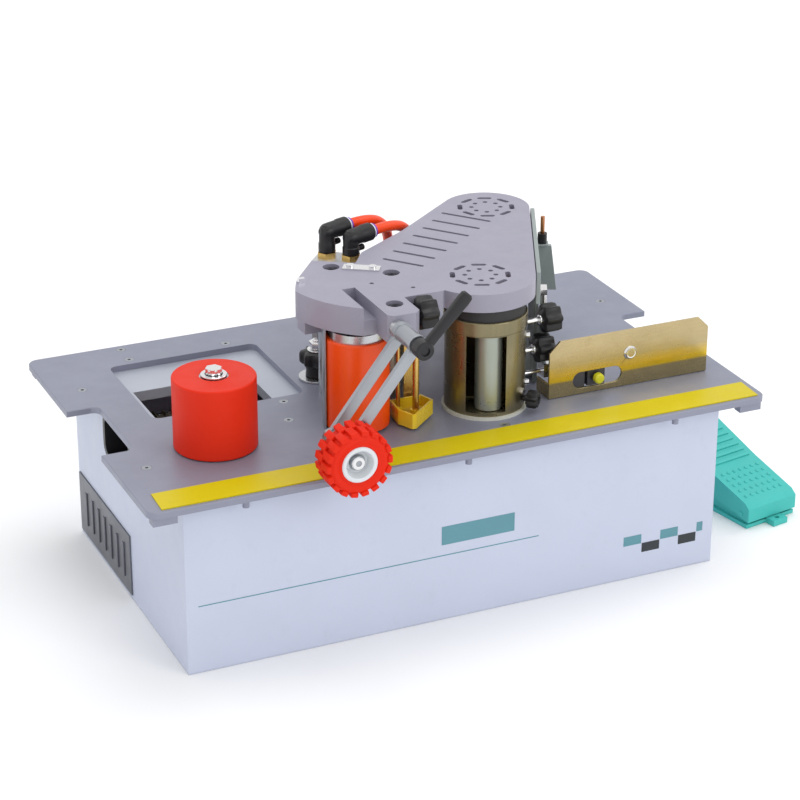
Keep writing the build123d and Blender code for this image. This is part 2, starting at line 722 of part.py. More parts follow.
def feed_belt():
    return belt_loop((MOTOR_X, MOTOR_Y, LOW_PULLEY_R), (FEED_X, FEED_Y, LOW_PULLEY_R), LOW_BELT_Z)


def motor():
    """Gear motor hung under the table on four standoffs."""
    body = disc(MOTOR_X, MOTOR_Y, MOTOR_Z, MOTOR_R)
    half = MOTOR_FLANGE / 2
    flange = block(
        (MOTOR_X - half, MOTOR_X + half),
        (MOTOR_Y - half, min(MOTOR_Y + half, HALF_DEPTH - SHEET - GAP)),
        (MOTOR_Z[1], MOTOR_Z[1] + 6),
    )
    pieces = [body, flange]
    for side_x in (-1, 1):
        for side_y in (-1, 1):
            x = MOTOR_X + side_x * (half - 8)
            y = MOTOR_Y + side_y * (half - 8)
            pieces.append(disc(x, y, (MOTOR_Z[1] + 6, TABLE_UNDER), STANDOFF_R))
    bore = disc(MOTOR_X, MOTOR_Y, (MOTOR_Z[0] + 8, TABLE_UNDER), MOTOR_SHAFT_R + RUN_FIT)
    return joined(pieces) - bore


def motor_shaft():
    """Motor shaft with the lower feed pulley and the upper belt pulley."""
    shaft = disc(MOTOR_X, MOTOR_Y, (MOTOR_Z[0] + 10, BELT_Z[1] + 1), MOTOR_SHAFT_R)
    low = disc(MOTOR_X, MOTOR_Y, LOW_BELT_Z, LOW_PULLEY_R)
    low_rim = disc(MOTOR_X, MOTOR_Y, (LOW_BELT_Z[0] - 2, LOW_BELT_Z[0] - GAP), LOW_PULLEY_R + 3)
    high = disc(MOTOR_X, MOTOR_Y, (BELT_Z[0] - 0.5, BELT_Z[1]), REAR_PULLEY_R)
    return joined([shaft, low, low_rim, high])


def rear_housing():
    """Cast housing under the rear lobe, with the motor shaft's upper bearing boss."""
    x, y = REAR_LOBE[:2]
    radius = HOUSING_R
    rim = ring(x, y, (SKIRT_UNDER - 4, SKIRT_UNDER), REAR_LOBE[2], radius - 5)
    wall = ring(x, y, (TABLE_TOP, SKIRT_UNDER), radius, radius - 5)
    floor = disc(x, y, (TABLE_TOP, TABLE_TOP + 5), radius)
    boss = disc(x, y, (TABLE_TOP, SKIRT_UNDER - 1), MOTOR_SHAFT_R + 7)
    webs = []
    for angle in (30, 150, 270):
        web = Box(radius - 4, 4, SKIRT_UNDER - TABLE_TOP - 40, align=(Align.MIN, Align.CENTER, Align.MIN))
        webs.append(Pos(x, y, TABLE_TOP) * Rot(0, 0, angle) * web)
    bore = disc(x, y, (TABLE_TOP - 1, SKIRT_UNDER + 1), MOTOR_SHAFT_R + RUN_FIT)
    return joined([wall, rim, floor, boss] + webs) - bore


def wall_place(shape):
    """Frame of the side wall: X along the belt cover's right edge, Y outwards."""
    angle = degrees(atan2(REAR_LOBE[1] - FRONT_LOBE[1], REAR_LOBE[0] - FRONT_LOBE[0]))
    taper = degrees(asin((FRONT_LOBE[2] - REAR_LOBE[2]) / WALL_SPAN))
    return Pos(FRONT_LOBE[0], FRONT_LOBE[1], 0) * Rot(0, 0, angle + taper) * mirror(shape, Plane.XZ)


def wall_y(margin):
    """Distance from the front lobe's centre to a plane outside the cover's edge."""
    return FRONT_LOBE[2] + margin


def side_wall():
    """Upright side plate along the right edge of the belt cover."""
    inner = wall_y(WALL_GAP)
    outer = wall_y(WALL_GAP + WALL_THICK)
    sheet = block((WALL_FOOT_START, WALL_END), (inner, outer), (TABLE_TOP, WALL_TOP))
    nose = block((WALL_START, WALL_FOOT_START), (inner, outer), (WALL_NOSE_UNDER, WALL_TOP))
    foot = block((WALL_FOOT_START + 14, WALL_FOOT_END), (inner - 14, inner), (TABLE_TOP, TABLE_TOP + 4))
    lug = block((WALL_FOOT_START + 1, WALL_FOOT_START + 12), (outer, outer + 9), LUG_Z)
    stem_hole = disc(WALL_FOOT_START + 6.5, outer + 4.5, (LUG_Z[0] + 5, LUG_Z[1] + 1), 3)
    return wall_place(joined([sheet, nose, foot, lug]) - stem_hole)


# ---- glue pot ----------------------------------------------------------------------
def glue_pot():
    body_z = (TABLE_TOP + POT_BASE, POT_TOP)
    body = disc(POT_X, POT_Y, body_z, POT_R)
    inner = disc(POT_X, POT_Y, (body_z[0] + 4, POT_TOP + 1), POT_R - POT_WALL)
    window = block((0, POT_R + 5), (-POT_WINDOW_WIDTH / 2, POT_WINDOW_WIDTH / 2), POT_WINDOW_Z)
    window = Pos(POT_X, POT_Y, 0) * Rot(0, 0, POT_WINDOW_ANGLE) * window
    bore = disc(GLUE_X, GLUE_Y, (0, POT_TOP), GLUE_SHAFT_R + RUN_FIT)
    return body - inner - window - bore


def pot_base_ring():
    plan = disc(POT_X, POT_Y, (TABLE_TOP, TABLE_TOP + POT_BASE), POT_R + POT_FOOT)
    return plan - disc(GLUE_X, GLUE_Y, (0, POT_TOP), GLUE_SHAFT_R + 2)


def pot_lid():
    """Dark insulating lid between the pot and the belt cover."""
    lid = disc(POT_X, POT_Y, (POT_TOP, POT_TOP + LID_HEIGHT), POT_R - 1)
    return lid - disc(GLUE_X, GLUE_Y, (0, HEAD_TOP), GLUE_SHAFT_R + RUN_FIT)


def glue_roller():
    """Glue roller, its shaft and the small belt pulley on top."""
    floor = TABLE_TOP + POT_BASE + 4
    roller = disc(GLUE_X, GLUE_Y, (floor + GAP, GLUE_ROLLER_TOP), GLUE_ROLLER_R)
    shaft = disc(GLUE_X, GLUE_Y, (TABLE_TOP + GAP, BELT_Z[1] + 1), GLUE_SHAFT_R)
    pulley = disc(GLUE_X, GLUE_Y, (BELT_Z[0] - 0.5, BELT_Z[1]), GLUE_PULLEY_R)
    return joined([roller, shaft, pulley])


def radial_pin(angle, z, start, end, radius):
    """Cylinder that points away from the pot's axis."""
    pin = Pos((start + end) / 2, 0, 0) * Rot(0, 90, 0) * Cylinder(radius, end - start)
    return Pos(POT_X, POT_Y, z) * Rot(0, 0, angle) * pin


POT_SCREWS = [(335.0, 243.0), (335.0, 196.0), (306.0, 195.0)]
STOP_ROD_Z = 195.5


def pot_screws():
    """Cap screws in the pot's flank, a stop rod with its block, and a thumb screw."""
    screws = []
    for angle, z in POT_SCREWS:
        screws.append(radial_pin(angle, z, POT_R + RUN_FIT, POT_R + 3.5, 3.0))
    stop_rod = rod_x((POT_X + POT_R + RUN_FIT, 114), KNOB_Y, STOP_ROD_Z, 2)
    stop = block((114, 124), (KNOB_Y - 5, KNOB_Y + 8), (STOP_ROD_Z - 5.5, STOP_ROD_Z + 7))
    outer = wall_y(WALL_GAP + WALL_THICK)
    stem_x = WALL_FOOT_START + 6.5
    stem_y = outer + 4.5
    stem = disc(stem_x, stem_y, (LUG_Z[0] + 5, 262), 3 - RUN_FIT)
    wing = block((stem_x - 7, stem_x + 7), (stem_y - 3, stem_y + 3), (262, 267))
    return apart(screws + [stop_rod + stop, wall_place(stem + wing)])


# ---- glue pot knobs ----------------------------------------------------------------
def adjusting_knob(x, z):
    """Star knob on a threaded rod that enters the pot's flank along X."""
    pot_side = POT_X + POT_R
    rod = rod_x((pot_side + GAP, x), KNOB_Y, z, 2.5)
    return rod + star_knob_x(x, KNOB_Y, z, KNOB_R, KNOB_THICK)


def upper_knob():
    return adjusting_knob(*UPPER_KNOB)


def lower_knob():
    return adjusting_knob(*LOWER_KNOB)


GAP_KNOB_ANGLE = 312.0
GAP_KNOB_Z = 187.0


def gap_knob():
    """Black knob at the foot of the pot that sets the glue film."""
    knob = Pos(POT_R + 5, 0, 0) * Rot(0, 90, 0) * star_knob(8.5, 11, 8)
    stem = Pos((2 * POT_R + 5 + GAP) / 2, 0, 0) * Rot(0, 90, 0) * Cylinder(3, 5 - GAP)
    return Pos(POT_X, POT_Y, GAP_KNOB_Z) * Rot(0, 0, GAP_KNOB_ANGLE) * (knob + stem)


# ---- press wheel -------------------------------------------------------------------
def tilted_bar(y_range):
    """Flat bar from the pivot to the axle, with round eyes at its ends."""
    length = hypot(AXLE_X - PIVOT_X, AXLE_Z - PIVOT_Z)
    tilt = degrees(atan2(AXLE_Z - PIVOT_Z, AXLE_X - PIVOT_X))
    y0, y1 = y_range
    outline = Pos(length / 2, 0) * Rectangle(length, BAR_WIDTH)
    outline = outline + Circle(PIVOT_EYE_R) + Pos(length, 0) * Circle(BAR_END_R)
    bar = extrude(outline, y1 - y0)
    return Pos(PIVOT_X, y1, PIVOT_Z) * Rot(90, 0, 0) * Rot(0, 0, tilt) * bar


def press_arm():
    """Two parallel bars joined by a cross tube at the pivot and the wheel's axle."""
    bars = [tilted_bar(REAR_BAR_Y), tilted_bar(FRONT_BAR_Y)]
    sleeve = rod_y(PIVOT_X, (FRONT_BAR_Y[1], REAR_BAR_Y[0]), PIVOT_Z, PIVOT_R + 3)
    axle = rod_y(AXLE_X, (WHEEL_Y[0] + 8, REAR_BAR_Y[1]), AXLE_Z, AXLE_R)
    spacer = rod_y(AXLE_X, (FRONT_BAR_Y[1], REAR_BAR_Y[0]), AXLE_Z, 6)
    collar = rod_y(AXLE_X, (WHEEL_Y[1] + GAP, FRONT_BAR_Y[0]), AXLE_Z, 6)
    head = rod_y(AXLE_X, (WHEEL_Y[0] + 4, WHEEL_Y[0] + HUB_RECESS - GAP), AXLE_Z, 6.5)
    arm = joined(bars + [sleeve, axle, spacer, collar, head])
    return arm - rod_y(PIVOT_X, (LEVER_Y[0], ARM_END), PIVOT_Z, PIVOT_R + RUN_FIT)


def pivot_pin():
    """Shoulder stud in the end of the arm that the press bars swing on."""
    stud = rod_y(PIVOT_X, (LEVER_Y[1] - LEVER_SEAT, ARM_END + PIVOT_SEAT), PIVOT_Z, PIVOT_R - RUN_FIT)
    boss = rod_y(PIVOT_X, (REAR_BAR_Y[1] + GAP, ARM_END), PIVOT_Z, 8)
    return stud + boss


def press_tyre():
    """Rubber tyre with a ring of blocks on its tread."""
    y0, y1 = WHEEL_Y
    body = rod_y(AXLE_X, WHEEL_Y, AXLE_Z, WHEEL_R)
    body = body - rod_y(AXLE_X, (y0 - 1, y1 + 1), AXLE_Z, WHEEL_HUB_R)
    groove = 2.4
    for index in range(WHEEL_TEETH):
        angle = 360 / WHEEL_TEETH * index
        cut = Pos(WHEEL_R, 0, 0) * Box(2 * groove, y1 - y0 + 2, 3.2)
        body = body - Pos(AXLE_X, (y0 + y1) / 2, AXLE_Z) * Rot(0, angle, 0) * cut
    return body


def press_hub():
    """White hub with a deep recess in its outer face."""
    y0, y1 = WHEEL_Y
    hub = rod_y(AXLE_X, WHEEL_Y, AXLE_Z, WHEEL_HUB_R)
    recess = rod_y(AXLE_X, (y0 - 1, y0 + HUB_RECESS), AXLE_Z, WHEEL_HUB_R - 4)
    bore = rod_y(AXLE_X, (y0 - 1, y1 + 1), AXLE_Z, AXLE_R + RUN_FIT)
    return hub - recess - bore


def clamp_lever():
    """Adjustable clamping lever on the pivot stud."""
    y0, y1 = LEVER_Y
    hub = rod_y(PIVOT_X, LEVER_Y, PIVOT_Z, 8.5)
    length = hypot(LEVER_TIP[0] - PIVOT_X, LEVER_TIP[1] - PIVOT_Z)
    tilt = degrees(atan2(LEVER_TIP[1] - PIVOT_Z, LEVER_TIP[0] - PIVOT_X))
    handle = Pos(length / 2 + 3, 0, 0) * Box(length - 6, 9, 11)
    handle = fillet(handle.edges().filter_by(Axis.X), 2.5)
    handle = Pos(PIVOT_X, (y0 + y1) / 2 - 1, PIVOT_Z) * Rot(0, -tilt, 0) * handle
    socket = rod_y(PIVOT_X, (y1 - LEVER_SEAT - GAP, y1 + 1), PIVOT_Z, PIVOT_R + RUN_FIT)
    return hub + handle - socket


ARM_KNOB = (-28.5, -113.0, 287.0)
ARM_KNOB_R = 15.5


def arm_knob():
    """Star knob with its stud on the right flank of the front arm."""
    x, y, z = ARM_KNOB
    stem = rod_x((ARM_X[1] + GAP, x), y, z, 4)
    return stem + star_knob_x(x, y, z, ARM_KNOB_R, KNOB_THICK)


# ---- shoe and its rods -------------------------------------------------------------
ROD_FRONT = (-18.0, -90.0, 3.0)
ROD_REAR = (-30.5, -79.0, 2.0)
ROD_LIFT = 1.0
SHOE_UNDER = TABLE_TOP + 2
SHOE_HEIGHT = 14.0


def guide_rods():
    """Brass rods and a flat steel guide bar that hang from the head."""
    pieces = [disc(x, y, (SHOE_UNDER + ROD_LIFT, HEAD_UNDER), radius) for x, y, radius in (ROD_FRONT, ROD_REAR)]
    pieces.append(block((-20, -11), (-69, -66), (184, HEAD_UNDER)))
    return apart(pieces)


def tape_shoe():
    """Boat-shaped yellow shoe that slides on the brass rods."""
    corners = [(-36.5, -73), (-38.0, -96), (-31, -111.5), (-27, -111.5), (0, -88), (-5, -73)]
    outer = polygon(corners)
    inner = offset(outer, -1.8)
    shoe = plate(outer, (SHOE_UNDER, SHOE_UNDER + SHOE_HEIGHT))
    shoe = shoe - plate(inner, (SHOE_UNDER + 4, SHOE_UNDER + SHOE_HEIGHT + 1))
    for x, y, radius in (ROD_FRONT, ROD_REAR):
        shoe = shoe + disc(x, y, (SHOE_UNDER, SHOE_UNDER + 9), radius + 2)
    for x, y, radius in (ROD_FRONT, ROD_REAR):
        shoe = shoe - disc(x, y, (0, HEAD_TOP), radius + RUN_FIT)
    return shoe


GUARD_ARC = (100.0, 181.0)


def roller_guard():
    """Thin curved strip on the left and back of the feed roller."""
    centre = (FEED_X, FEED_Y)
    inner = FEED_R + 1.2
    outer = inner + 1.2
    start, end = GUARD_ARC
    sector = [centre]
    for angle in (start, (start + end) / 2, end):
        sector.append((FEED_X + 3 * outer * cos(radians(angle)), FEED_Y + 3 * outer * sin(radians(angle))))
    strip = ring(*centre, (TABLE_TOP, HEAD_UNDER), outer, inner)
    return strip & plate(polygon(sector), (TABLE_TOP, HEAD_UNDER))


# ---- fence -------------------------------------------------------------------------
def fence():
    """Zinc angle plate with chamfered corners, a return flange and a lock slot."""
    z0 = TABLE_TOP + FENCE_LIFT
    x0, x1 = FENCE_X
    thick = FENCE_Y[1] - FENCE_Y[0]
    outline = [
        (x0, z0),
        (x1, z0),
        (x1, FENCE_TOP - FENCE_CHAMFER),
        (x1 - FENCE_CHAMFER, FENCE_TOP),
        (x0 + FENCE_CHAMFER, FENCE_TOP),
        (x0, FENCE_TOP - FENCE_CHAMFER),
    ]
    face = Rot(90, 0, 0) * polygon(outline)
    sheet = Pos(0, FENCE_Y[1], 0) * extrude(face, thick, dir=(0, -1, 0))
    slot = Pos(SLOT_X, 0, SLOT_Z) * Rot(90, 0, 0) * extrude(SlotOverall(SLOT_LENGTH, SLOT_HEIGHT), 300)
    sheet = sheet - slot
    flange = block((x0, x0 + thick), (FENCE_Y[1], FENCE_RETURN_Y), (z0, SLOT_Z))
    screw = rod_y(FENCE_SCREW_X, (FENCE_Y[0] - 2.5, FENCE_Y[0]), FENCE_SCREW_Z, 5.2)
    return joined([sheet, flange, screw])


def fence_rail():
    """Rail on two posts behind the fence that the fence slides along."""
    y0 = FENCE_Y[1] + RAIL_GAP
    rail = block((RAIL_X[0], RAIL_X[1]), (y0, y0 + 8), (198, 216))
    posts = []
    for x in (RAIL_X[0], RAIL_X[1] - 16):
        posts.append(block((x, x + 16), (y0, y0 + 26), (TABLE_TOP, 198)))
    stud_block = block((SLOT_X - 9, SLOT_X + 9), (y0, y0 + 12), (180, 198))
    return joined([rail, stud_block] + posts)


def fence_lock():
    """Stud and yellow thumb nut that stand in the fence's slot."""
    stud = rod_y(SLOT_X, (FENCE_Y[0] - 3, FENCE_Y[1] + RAIL_GAP), SLOT_Z, 3)
    nut = rod_y(SLOT_X, (FENCE_Y[0] - 6, FENCE_Y[0] - 0.5), SLOT_Z, 5)
    return stud + nut


# ---- side bracket and heat probe ---------------------------------------------------
PROBE_ALONG = 177.0
PROBE_OUT = 8.0
BRACKET_Z = (214.0, 260.0)
BRACKET_THICK = 5.0
BRACKET_OUT = (17.0, 23.0)


def side_bracket():
    """Tapered upright plate that stands out from the side wall."""
    face_y = wall_y(WALL_GAP + WALL_THICK)
    low, high = BRACKET_Z
    outline = [(face_y, low), (face_y + BRACKET_OUT[1], low), (face_y + BRACKET_OUT[0], high), (face_y, high)]
    upright = Plane.YZ * polygon(outline)
    sheet = extrude(upright, BRACKET_THICK / 2, both=True)
    seat = block((-6, 6), (face_y + PROBE_OUT - 6, face_y + PROBE_OUT + 6), (high, high + 2))
    return wall_place(Pos(PROBE_ALONG, 0, 0) * (sheet + seat))


def heat_probe():
    """Black gland nut with the copper capillary standing in it."""
    y = wall_y(WALL_GAP + WALL_THICK) + PROBE_OUT
    base = BRACKET_Z[1] + 2
    nut = disc(PROBE_ALONG, y, (base, base + 10), 4.6)
    capillary = disc(PROBE_ALONG, y, (base + 10, base + 27), 2)
    return apart([wall_place(nut), wall_place(capillary)])


# ---- tape cutter -------------------------------------------------------------------
def turned(x, y, shape):
    """Place a shape at the cylinder's angle."""
    return Pos(x, y, 0) * Rot(0, 0, CYLINDER_ANGLE) * shape


def cutter_cylinder():
    """Compact air cylinder block on the bridge that stands on the table."""
    half_x = CYLINDER_SIZE[0] / 2
    half_y = CYLINDER_SIZE[1] / 2
    body = block((-half_x, half_x), (-half_y, half_y), CYLINDER_Z)
    body = body - disc(0, 0, (CYLINDER_Z[0] - 1, CYLINDER_Z[1] - 8), PISTON_R)
    deck_z = (CYLINDER_Z[0] - 6, CYLINDER_Z[0])
    bridge = block((-half_x, half_x), (-half_y, half_y), deck_z)
    for side in (-1, 1):
        leg_x = sorted((side * half_x, side * (half_x - 6)))
        bridge = bridge + block(leg_x, (-half_y, half_y), (TABLE_TOP, deck_z[0]))
    bridge = bridge - disc(0, 0, (0, HEAD_TOP), PISTON_ROD_R + RUN_FIT)
    return apart([turned(*CYLINDER_SPOT, body), turned(*CYLINDER_SPOT, bridge)])


def cutter_blade():
    """Piston, rod, holder and blade of the tape cutter, at the top of its stroke."""
    piston = disc(0, 0, (CYLINDER_Z[1] - 20, CYLINDER_Z[1] - 10), PISTON_R - RUN_FIT)
    rod = disc(0, 0, (212, CYLINDER_Z[1] - 20), PISTON_ROD_R)
    holder = block((-9, 9), (-8, 8), (202, 214))
    blade = block((-7, 7), (-0.75, 0.75), (194, 202))
    return turned(*CYLINDER_SPOT, joined([piston, rod, holder, blade]))


def elbow_bases():
    """Brass hexagon bodies of the two elbow fittings."""
    bases = []
    for x, y, z in (ELBOW_LEFT, ELBOW_RIGHT):
        bases.append(hex_prism(x, y, (CYLINDER_Z[1], CYLINDER_Z[1] + 5.5), 16.0))
    return apart(bases)


def elbow_end(spot, reach):
    x, y, z = spot
    angle = radians(ELBOW_ANGLE)
    return x + reach * cos(angle), y + reach * sin(angle), z


def elbow_arm(spot, start, end, radius):
    """Cylinder along an elbow's outlet."""
    arm = Pos((start + end) / 2, 0, 0) * Rot(0, 90, 0) * Cylinder(radius, end - start)
    return Pos(*spot) * Rot(0, 0, ELBOW_ANGLE) * arm


def elbow_bodies():
    """Black swivel elbows with their small release buttons."""
    bodies = []
    for spot in (ELBOW_LEFT, ELBOW_RIGHT):
        x, y, z = spot
        upright = disc(x, y, (CYLINDER_Z[1] + 5.5, z), 8.0)
        knee = Pos(x, y, z) * Sphere(8.0)
        outlet = elbow_arm(spot, 0, ELBOW_REACH, ELBOW_R)
        button = elbow_arm((x, y, z - 12), 0, 16, 3)
        bodies.append(joined([upright, knee, outlet, button]))
    return apart(bodies)


def elbow_collets():
    """Release rings at the hose ends of the elbows."""
    rings = []
    for spot in (ELBOW_LEFT, ELBOW_RIGHT):
        rings.append(elbow_arm(spot, ELBOW_REACH, ELBOW_REACH + COLLET_LENGTH, 6.8))
    return apart(rings)


BULKHEAD_NECK_R = 6.0


def hose_bulkheads():
    """Push-in bulkhead fittings where the hoses enter the table."""
    fittings = []
    for x, y in HOSE_ENDS:
        top = hex_prism(x, y, (TABLE_TOP, TABLE_TOP + 6), 16.0)
        sleeve = disc(x, y, (TABLE_TOP + 6, BULKHEAD_TOP), 7.5)
        neck = disc(x, y, (TABLE_UNDER - 8, TABLE_TOP), BULKHEAD_NECK_R)
        fittings.append(joined([top, sleeve, neck]))
    return apart(fittings)


def hose_route(spot, lead, middle_points, end):
    """Corner points of a hose, from its collet to its bulkhead fitting."""
    face = ELBOW_REACH + COLLET_LENGTH
    return [elbow_end(spot, face), elbow_end(spot, face + lead)] + middle_points + [(*end, BULKHEAD_TOP)]


LEFT_ROUTE = hose_route(
    ELBOW_LEFT,
    24,
    [(36, 101, 291), (51, 122, 261), (*HOSE_ENDS[0], 222)],
    HOSE_ENDS[0],
)
RIGHT_ROUTE = hose_route(
    ELBOW_RIGHT,
    24,
    [(54, 88, 288), (73, 114, 256), (*HOSE_ENDS[1], 218)],
    HOSE_ENDS[1],
)


def hose(points):
    """Tube along straight runs joined by arcs as large as the runs allow."""
    spots = [Vector(*point) for point in points]
    runs = [(b - a) for a, b in zip(spots, spots[1:])]
    radii = []
    for before, after in zip(runs, runs[1:]):
        turn = radians(before.get_angle(after))
        radii.append(0.45 * min(before.length, after.length) / tan(turn / 2))
    print("hose radii", [round(radius, 1) for radius in radii])
    path = FilletPolyline(*points, radius=radii)
    section = Plane(origin=spots[0], z_dir=runs[0]) * Circle(HOSE_R)
    tube = sweep(section, path=path)
    print("hose volume", round(tube.volume), "section x length", round(pi * HOSE_R**2 * path.length))
    return tube


def hose_left():
    return hose(LEFT_ROUTE)


def hose_right():
    return hose(RIGHT_ROUTE)


# ---- gauge knob behind the left lobe ---------------------------------------------
GAUGE_SPOT = (-62.4, 34.5)
GAUGE_SEAT_R = 17.5
GAUGE_SEAT_THICK = 2.5
GAUGE_NECK_R = 11.0
GAUGE_NECK_TOP = 188.0
GAUGE_KNOB_R = 16.5
GAUGE_KNOB_THICK = 14.0
GAUGE_STUD_R = 4.0
GAUGE_NUT_FLATS = 13.0
GAUGE_TOP = 213.0


def gauge_seat():
    """Round steel seat on the table under the tape gauge's knob, with its bush."""
    x, y = GAUGE_SPOT
    seat = disc(x, y, (TABLE_TOP, TABLE_TOP + GAUGE_SEAT_THICK), GAUGE_SEAT_R)
    return seat - disc(x, y, (TABLE_TOP - 1, TABLE_TOP + GAUGE_SEAT_THICK + 1), GAUGE_STUD_R + RUN_FIT)


def gauge_knob():
    """Star knob on a round neck, with its stud and top nut."""
    x, y = GAUGE_SPOT
    under = TABLE_TOP + GAUGE_SEAT_THICK + RUN_FIT
    neck = disc(x, y, (under, GAUGE_NECK_TOP), GAUGE_NECK_R)
    knob = Pos(x, y, GAUGE_NECK_TOP) * star_knob(GAUGE_KNOB_R, GAUGE_KNOB_THICK)
    stud = disc(x, y, (TABLE_TOP + RUN_FIT, GAUGE_TOP), GAUGE_STUD_R)
    nut = hex_prism(x, y, (GAUGE_NECK_TOP + GAUGE_KNOB_THICK, GAUGE_TOP), GAUGE_NUT_FLATS)
    return joined([neck, knob, stud, nut])


# ---- rear inlets -------------------------------------------------------------------
def inlet_panel():
    """Mains inlet with its switch surround and the air inlet, on the back wall."""
    y0 = HALF_DEPTH
    cover = block((144, 232), (y0, y0 + 2), (46, 104))
    box = block((152, 224), (y0 - 28, y0), (54, 96))
    socket = block((160, 188), (y0 - 20, y0 + 3), (62, 84))
    rocker_hole = block((198, 218), (y0 - 12, y0 + 3), (60, 88))
    return cover + box - socket - rocker_hole


# ---- foot pedal --------------------------------------------------------------------
def pedal_place(shape):
    """Pedal frame: X across, Y from the near end to the far end, then turned and set down."""
    return Pos(*PEDAL_NEAR, 0) * Rot(0, 0, PEDAL_ANGLE) * shape


PEDAL_SKIRT = 3.0
HALF_PEDAL = PEDAL_WIDTH / 2


def side_profile(points, half_width):
    """Profile in the pedal's YZ plane, extruded across its width."""
    face = Plane.YZ * polygon(points)
    return extrude(face, half_width, both=True)


def pedal_base():
    """Floor plate with side cheeks, a screw lug and the valve, and the hinge pin."""
    floor = block((-HALF_PEDAL, HALF_PEDAL), (0, PEDAL_LENGTH), (0, 4))
    cheek_out = HALF_PEDAL - PEDAL_SKIRT - GAP
    cheek_profile = [(2, 4), (2, 19), (PEDAL_LENGTH - 4, PEDAL_HIGH - 22), (PEDAL_LENGTH - 4, 4)]
    cheeks = side_profile(cheek_profile, cheek_out)
    inside = side_profile([(-1, 4), (-1, 90), (PEDAL_LENGTH - 7, 90), (PEDAL_LENGTH - 7, 4)], cheek_out - 3)
    valve = block((-14, 14), (76, 106), (4, 26))
    lug = block((-6, 12), (-12, 0), (0, 6)) - disc(3, -6, (-1, 8), 2.5)
    base = floor + (cheeks - inside) + valve + lug
    pin_hole = rod_x((-60, 60), PEDAL_PIN_Y, PEDAL_PIN_Z, PEDAL_PIN_R + RUN_FIT)
    pin = rod_x((-HALF_PEDAL - 1, HALF_PEDAL + 1), PEDAL_PIN_Y, PEDAL_PIN_Z, PEDAL_PIN_R)
    return apart([pedal_place(base - pin_hole), pedal_place(pin)])


PEDAL_MID = (58.0, 41.0)
PEDAL_SKIN = 3.0


def pedal_plate():
    """Treadle: a hollow cover with ribs on its far half and pads on its near half."""
    skirt_low = PEDAL_PIN_Z - 6
    outer = side_profile(
        [
            (-2, skirt_low),
            (-2, PEDAL_LOW - 5),
            (4, PEDAL_LOW),
            PEDAL_MID,
            (PEDAL_LENGTH - 6, PEDAL_HIGH),
            (PEDAL_LENGTH, PEDAL_HIGH - 6),
            (PEDAL_LENGTH, PEDAL_HIGH - 26),
            (44, skirt_low + 8),
        ],
        HALF_PEDAL,
    )
    inner = side_profile(
        [
            (-2 + PEDAL_SKIN, 0),
            (-2 + PEDAL_SKIN, PEDAL_LOW - 6),
            (5, PEDAL_LOW - PEDAL_SKIN),
            (PEDAL_MID[0], PEDAL_MID[1] - PEDAL_SKIN),
            (PEDAL_LENGTH - 7, PEDAL_HIGH - PEDAL_SKIN),
            (PEDAL_LENGTH - PEDAL_SKIN, PEDAL_HIGH - 8),
            (PEDAL_LENGTH - PEDAL_SKIN, 0),
        ],
        HALF_PEDAL - PEDAL_SKIRT,
    )
    treadle = outer - inner
    rise = (PEDAL_HIGH - PEDAL_MID[1]) / (PEDAL_LENGTH - 6 - PEDAL_MID[0])
    rib_count = 7
    for index in range(rib_count):
        along = PEDAL_MID[0] + 4 + index * 8
        height = PEDAL_MID[1] + (along - PEDAL_MID[0]) * rise
        rib = Pos(0, along, height + 0.3) * Rot(degrees(atan(rise)), 0, 0) * Box(PEDAL_WIDTH - 12, 3.6, 2.4)
        treadle = treadle + rib
    hole = rod_x((-60, 60), PEDAL_PIN_Y, PEDAL_PIN_Z, PEDAL_PIN_R + RUN_FIT)
    return pedal_place(treadle - hole)


NODES = {
    "cabinet_shell": cabinet_shell,
    "bottom_plate": bottom_plate,
    "vent_panel": vent_panel,
    "hand_cups": hand_cups,
    "table_plate": table_plate,
    "table_screws": table_screws,
    "table_spacers": table_spacers,
    "edge_strip": edge_strip,
    "window_ledge": window_ledge,
    "electrics": electrics,
    "guide_roller": guide_roller,
    "guide_bearings": guide_bearings,
    "guide_bolt": guide_bolt,
    "feed_roller": feed_roller,
    "feed_shaft": feed_shaft,
    "head_casting": head_casting,
    "head_pillars": head_pillars,
    "head_bolts": head_bolts,
    "clip_plate": clip_plate,
    "drive_belt": drive_belt,
    "feed_belt": feed_belt,
    "motor": motor,
    "motor_shaft": motor_shaft,
    "rear_housing": rear_housing,
    "side_wall": side_wall,
    "glue_pot": glue_pot,
    "pot_base_ring": pot_base_ring,
    "pot_lid": pot_lid,
    "glue_roller": glue_roller,
    "pot_screws": pot_screws,
    "upper_knob": upper_knob,
    "lower_knob": lower_knob,
    "gap_knob": gap_knob,
    "press_arm": press_arm,
    "pivot_pin": pivot_pin,
    "press_tyre": press_tyre,
    "press_hub": press_hub,
    "clamp_lever": clamp_lever,
    "arm_knob": arm_knob,
    "roller_guard": roller_guard,
    "guide_rods": guide_rods,
    "tape_shoe": tape_shoe,
    "fence": fence,
    "fence_rail": fence_rail,
    "fence_lock": fence_lock,
    "side_bracket": side_bracket,
    "heat_probe": heat_probe,
    "cutter_cylinder": cutter_cylinder,
    "cutter_blade": cutter_blade,
    "elbow_bases": elbow_bases,
    "elbow_bodies": elbow_bodies,
    "elbow_collets": elbow_collets,
    "hose_left": hose_left,
    "hose_right": hose_right,
    "hose_bulkheads": hose_bulkheads,
    "gauge_seat": gauge_seat,
    "gauge_knob": gauge_knob,
    "inlet_panel": inlet_panel,
    "pedal_base": pedal_base,
    "pedal_plate": pedal_plate,
}

for name, build in NODES.items():
    export_step(build(), f"parts/{name}.step")
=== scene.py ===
"""Edge banding machine: the looks of a bench-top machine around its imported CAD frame.

Everything is in metres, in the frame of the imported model: +X along the table in the feed
direction, +Y to the back, +Z up, with the origin under the middle of the cabinet.
"""
import json
import math

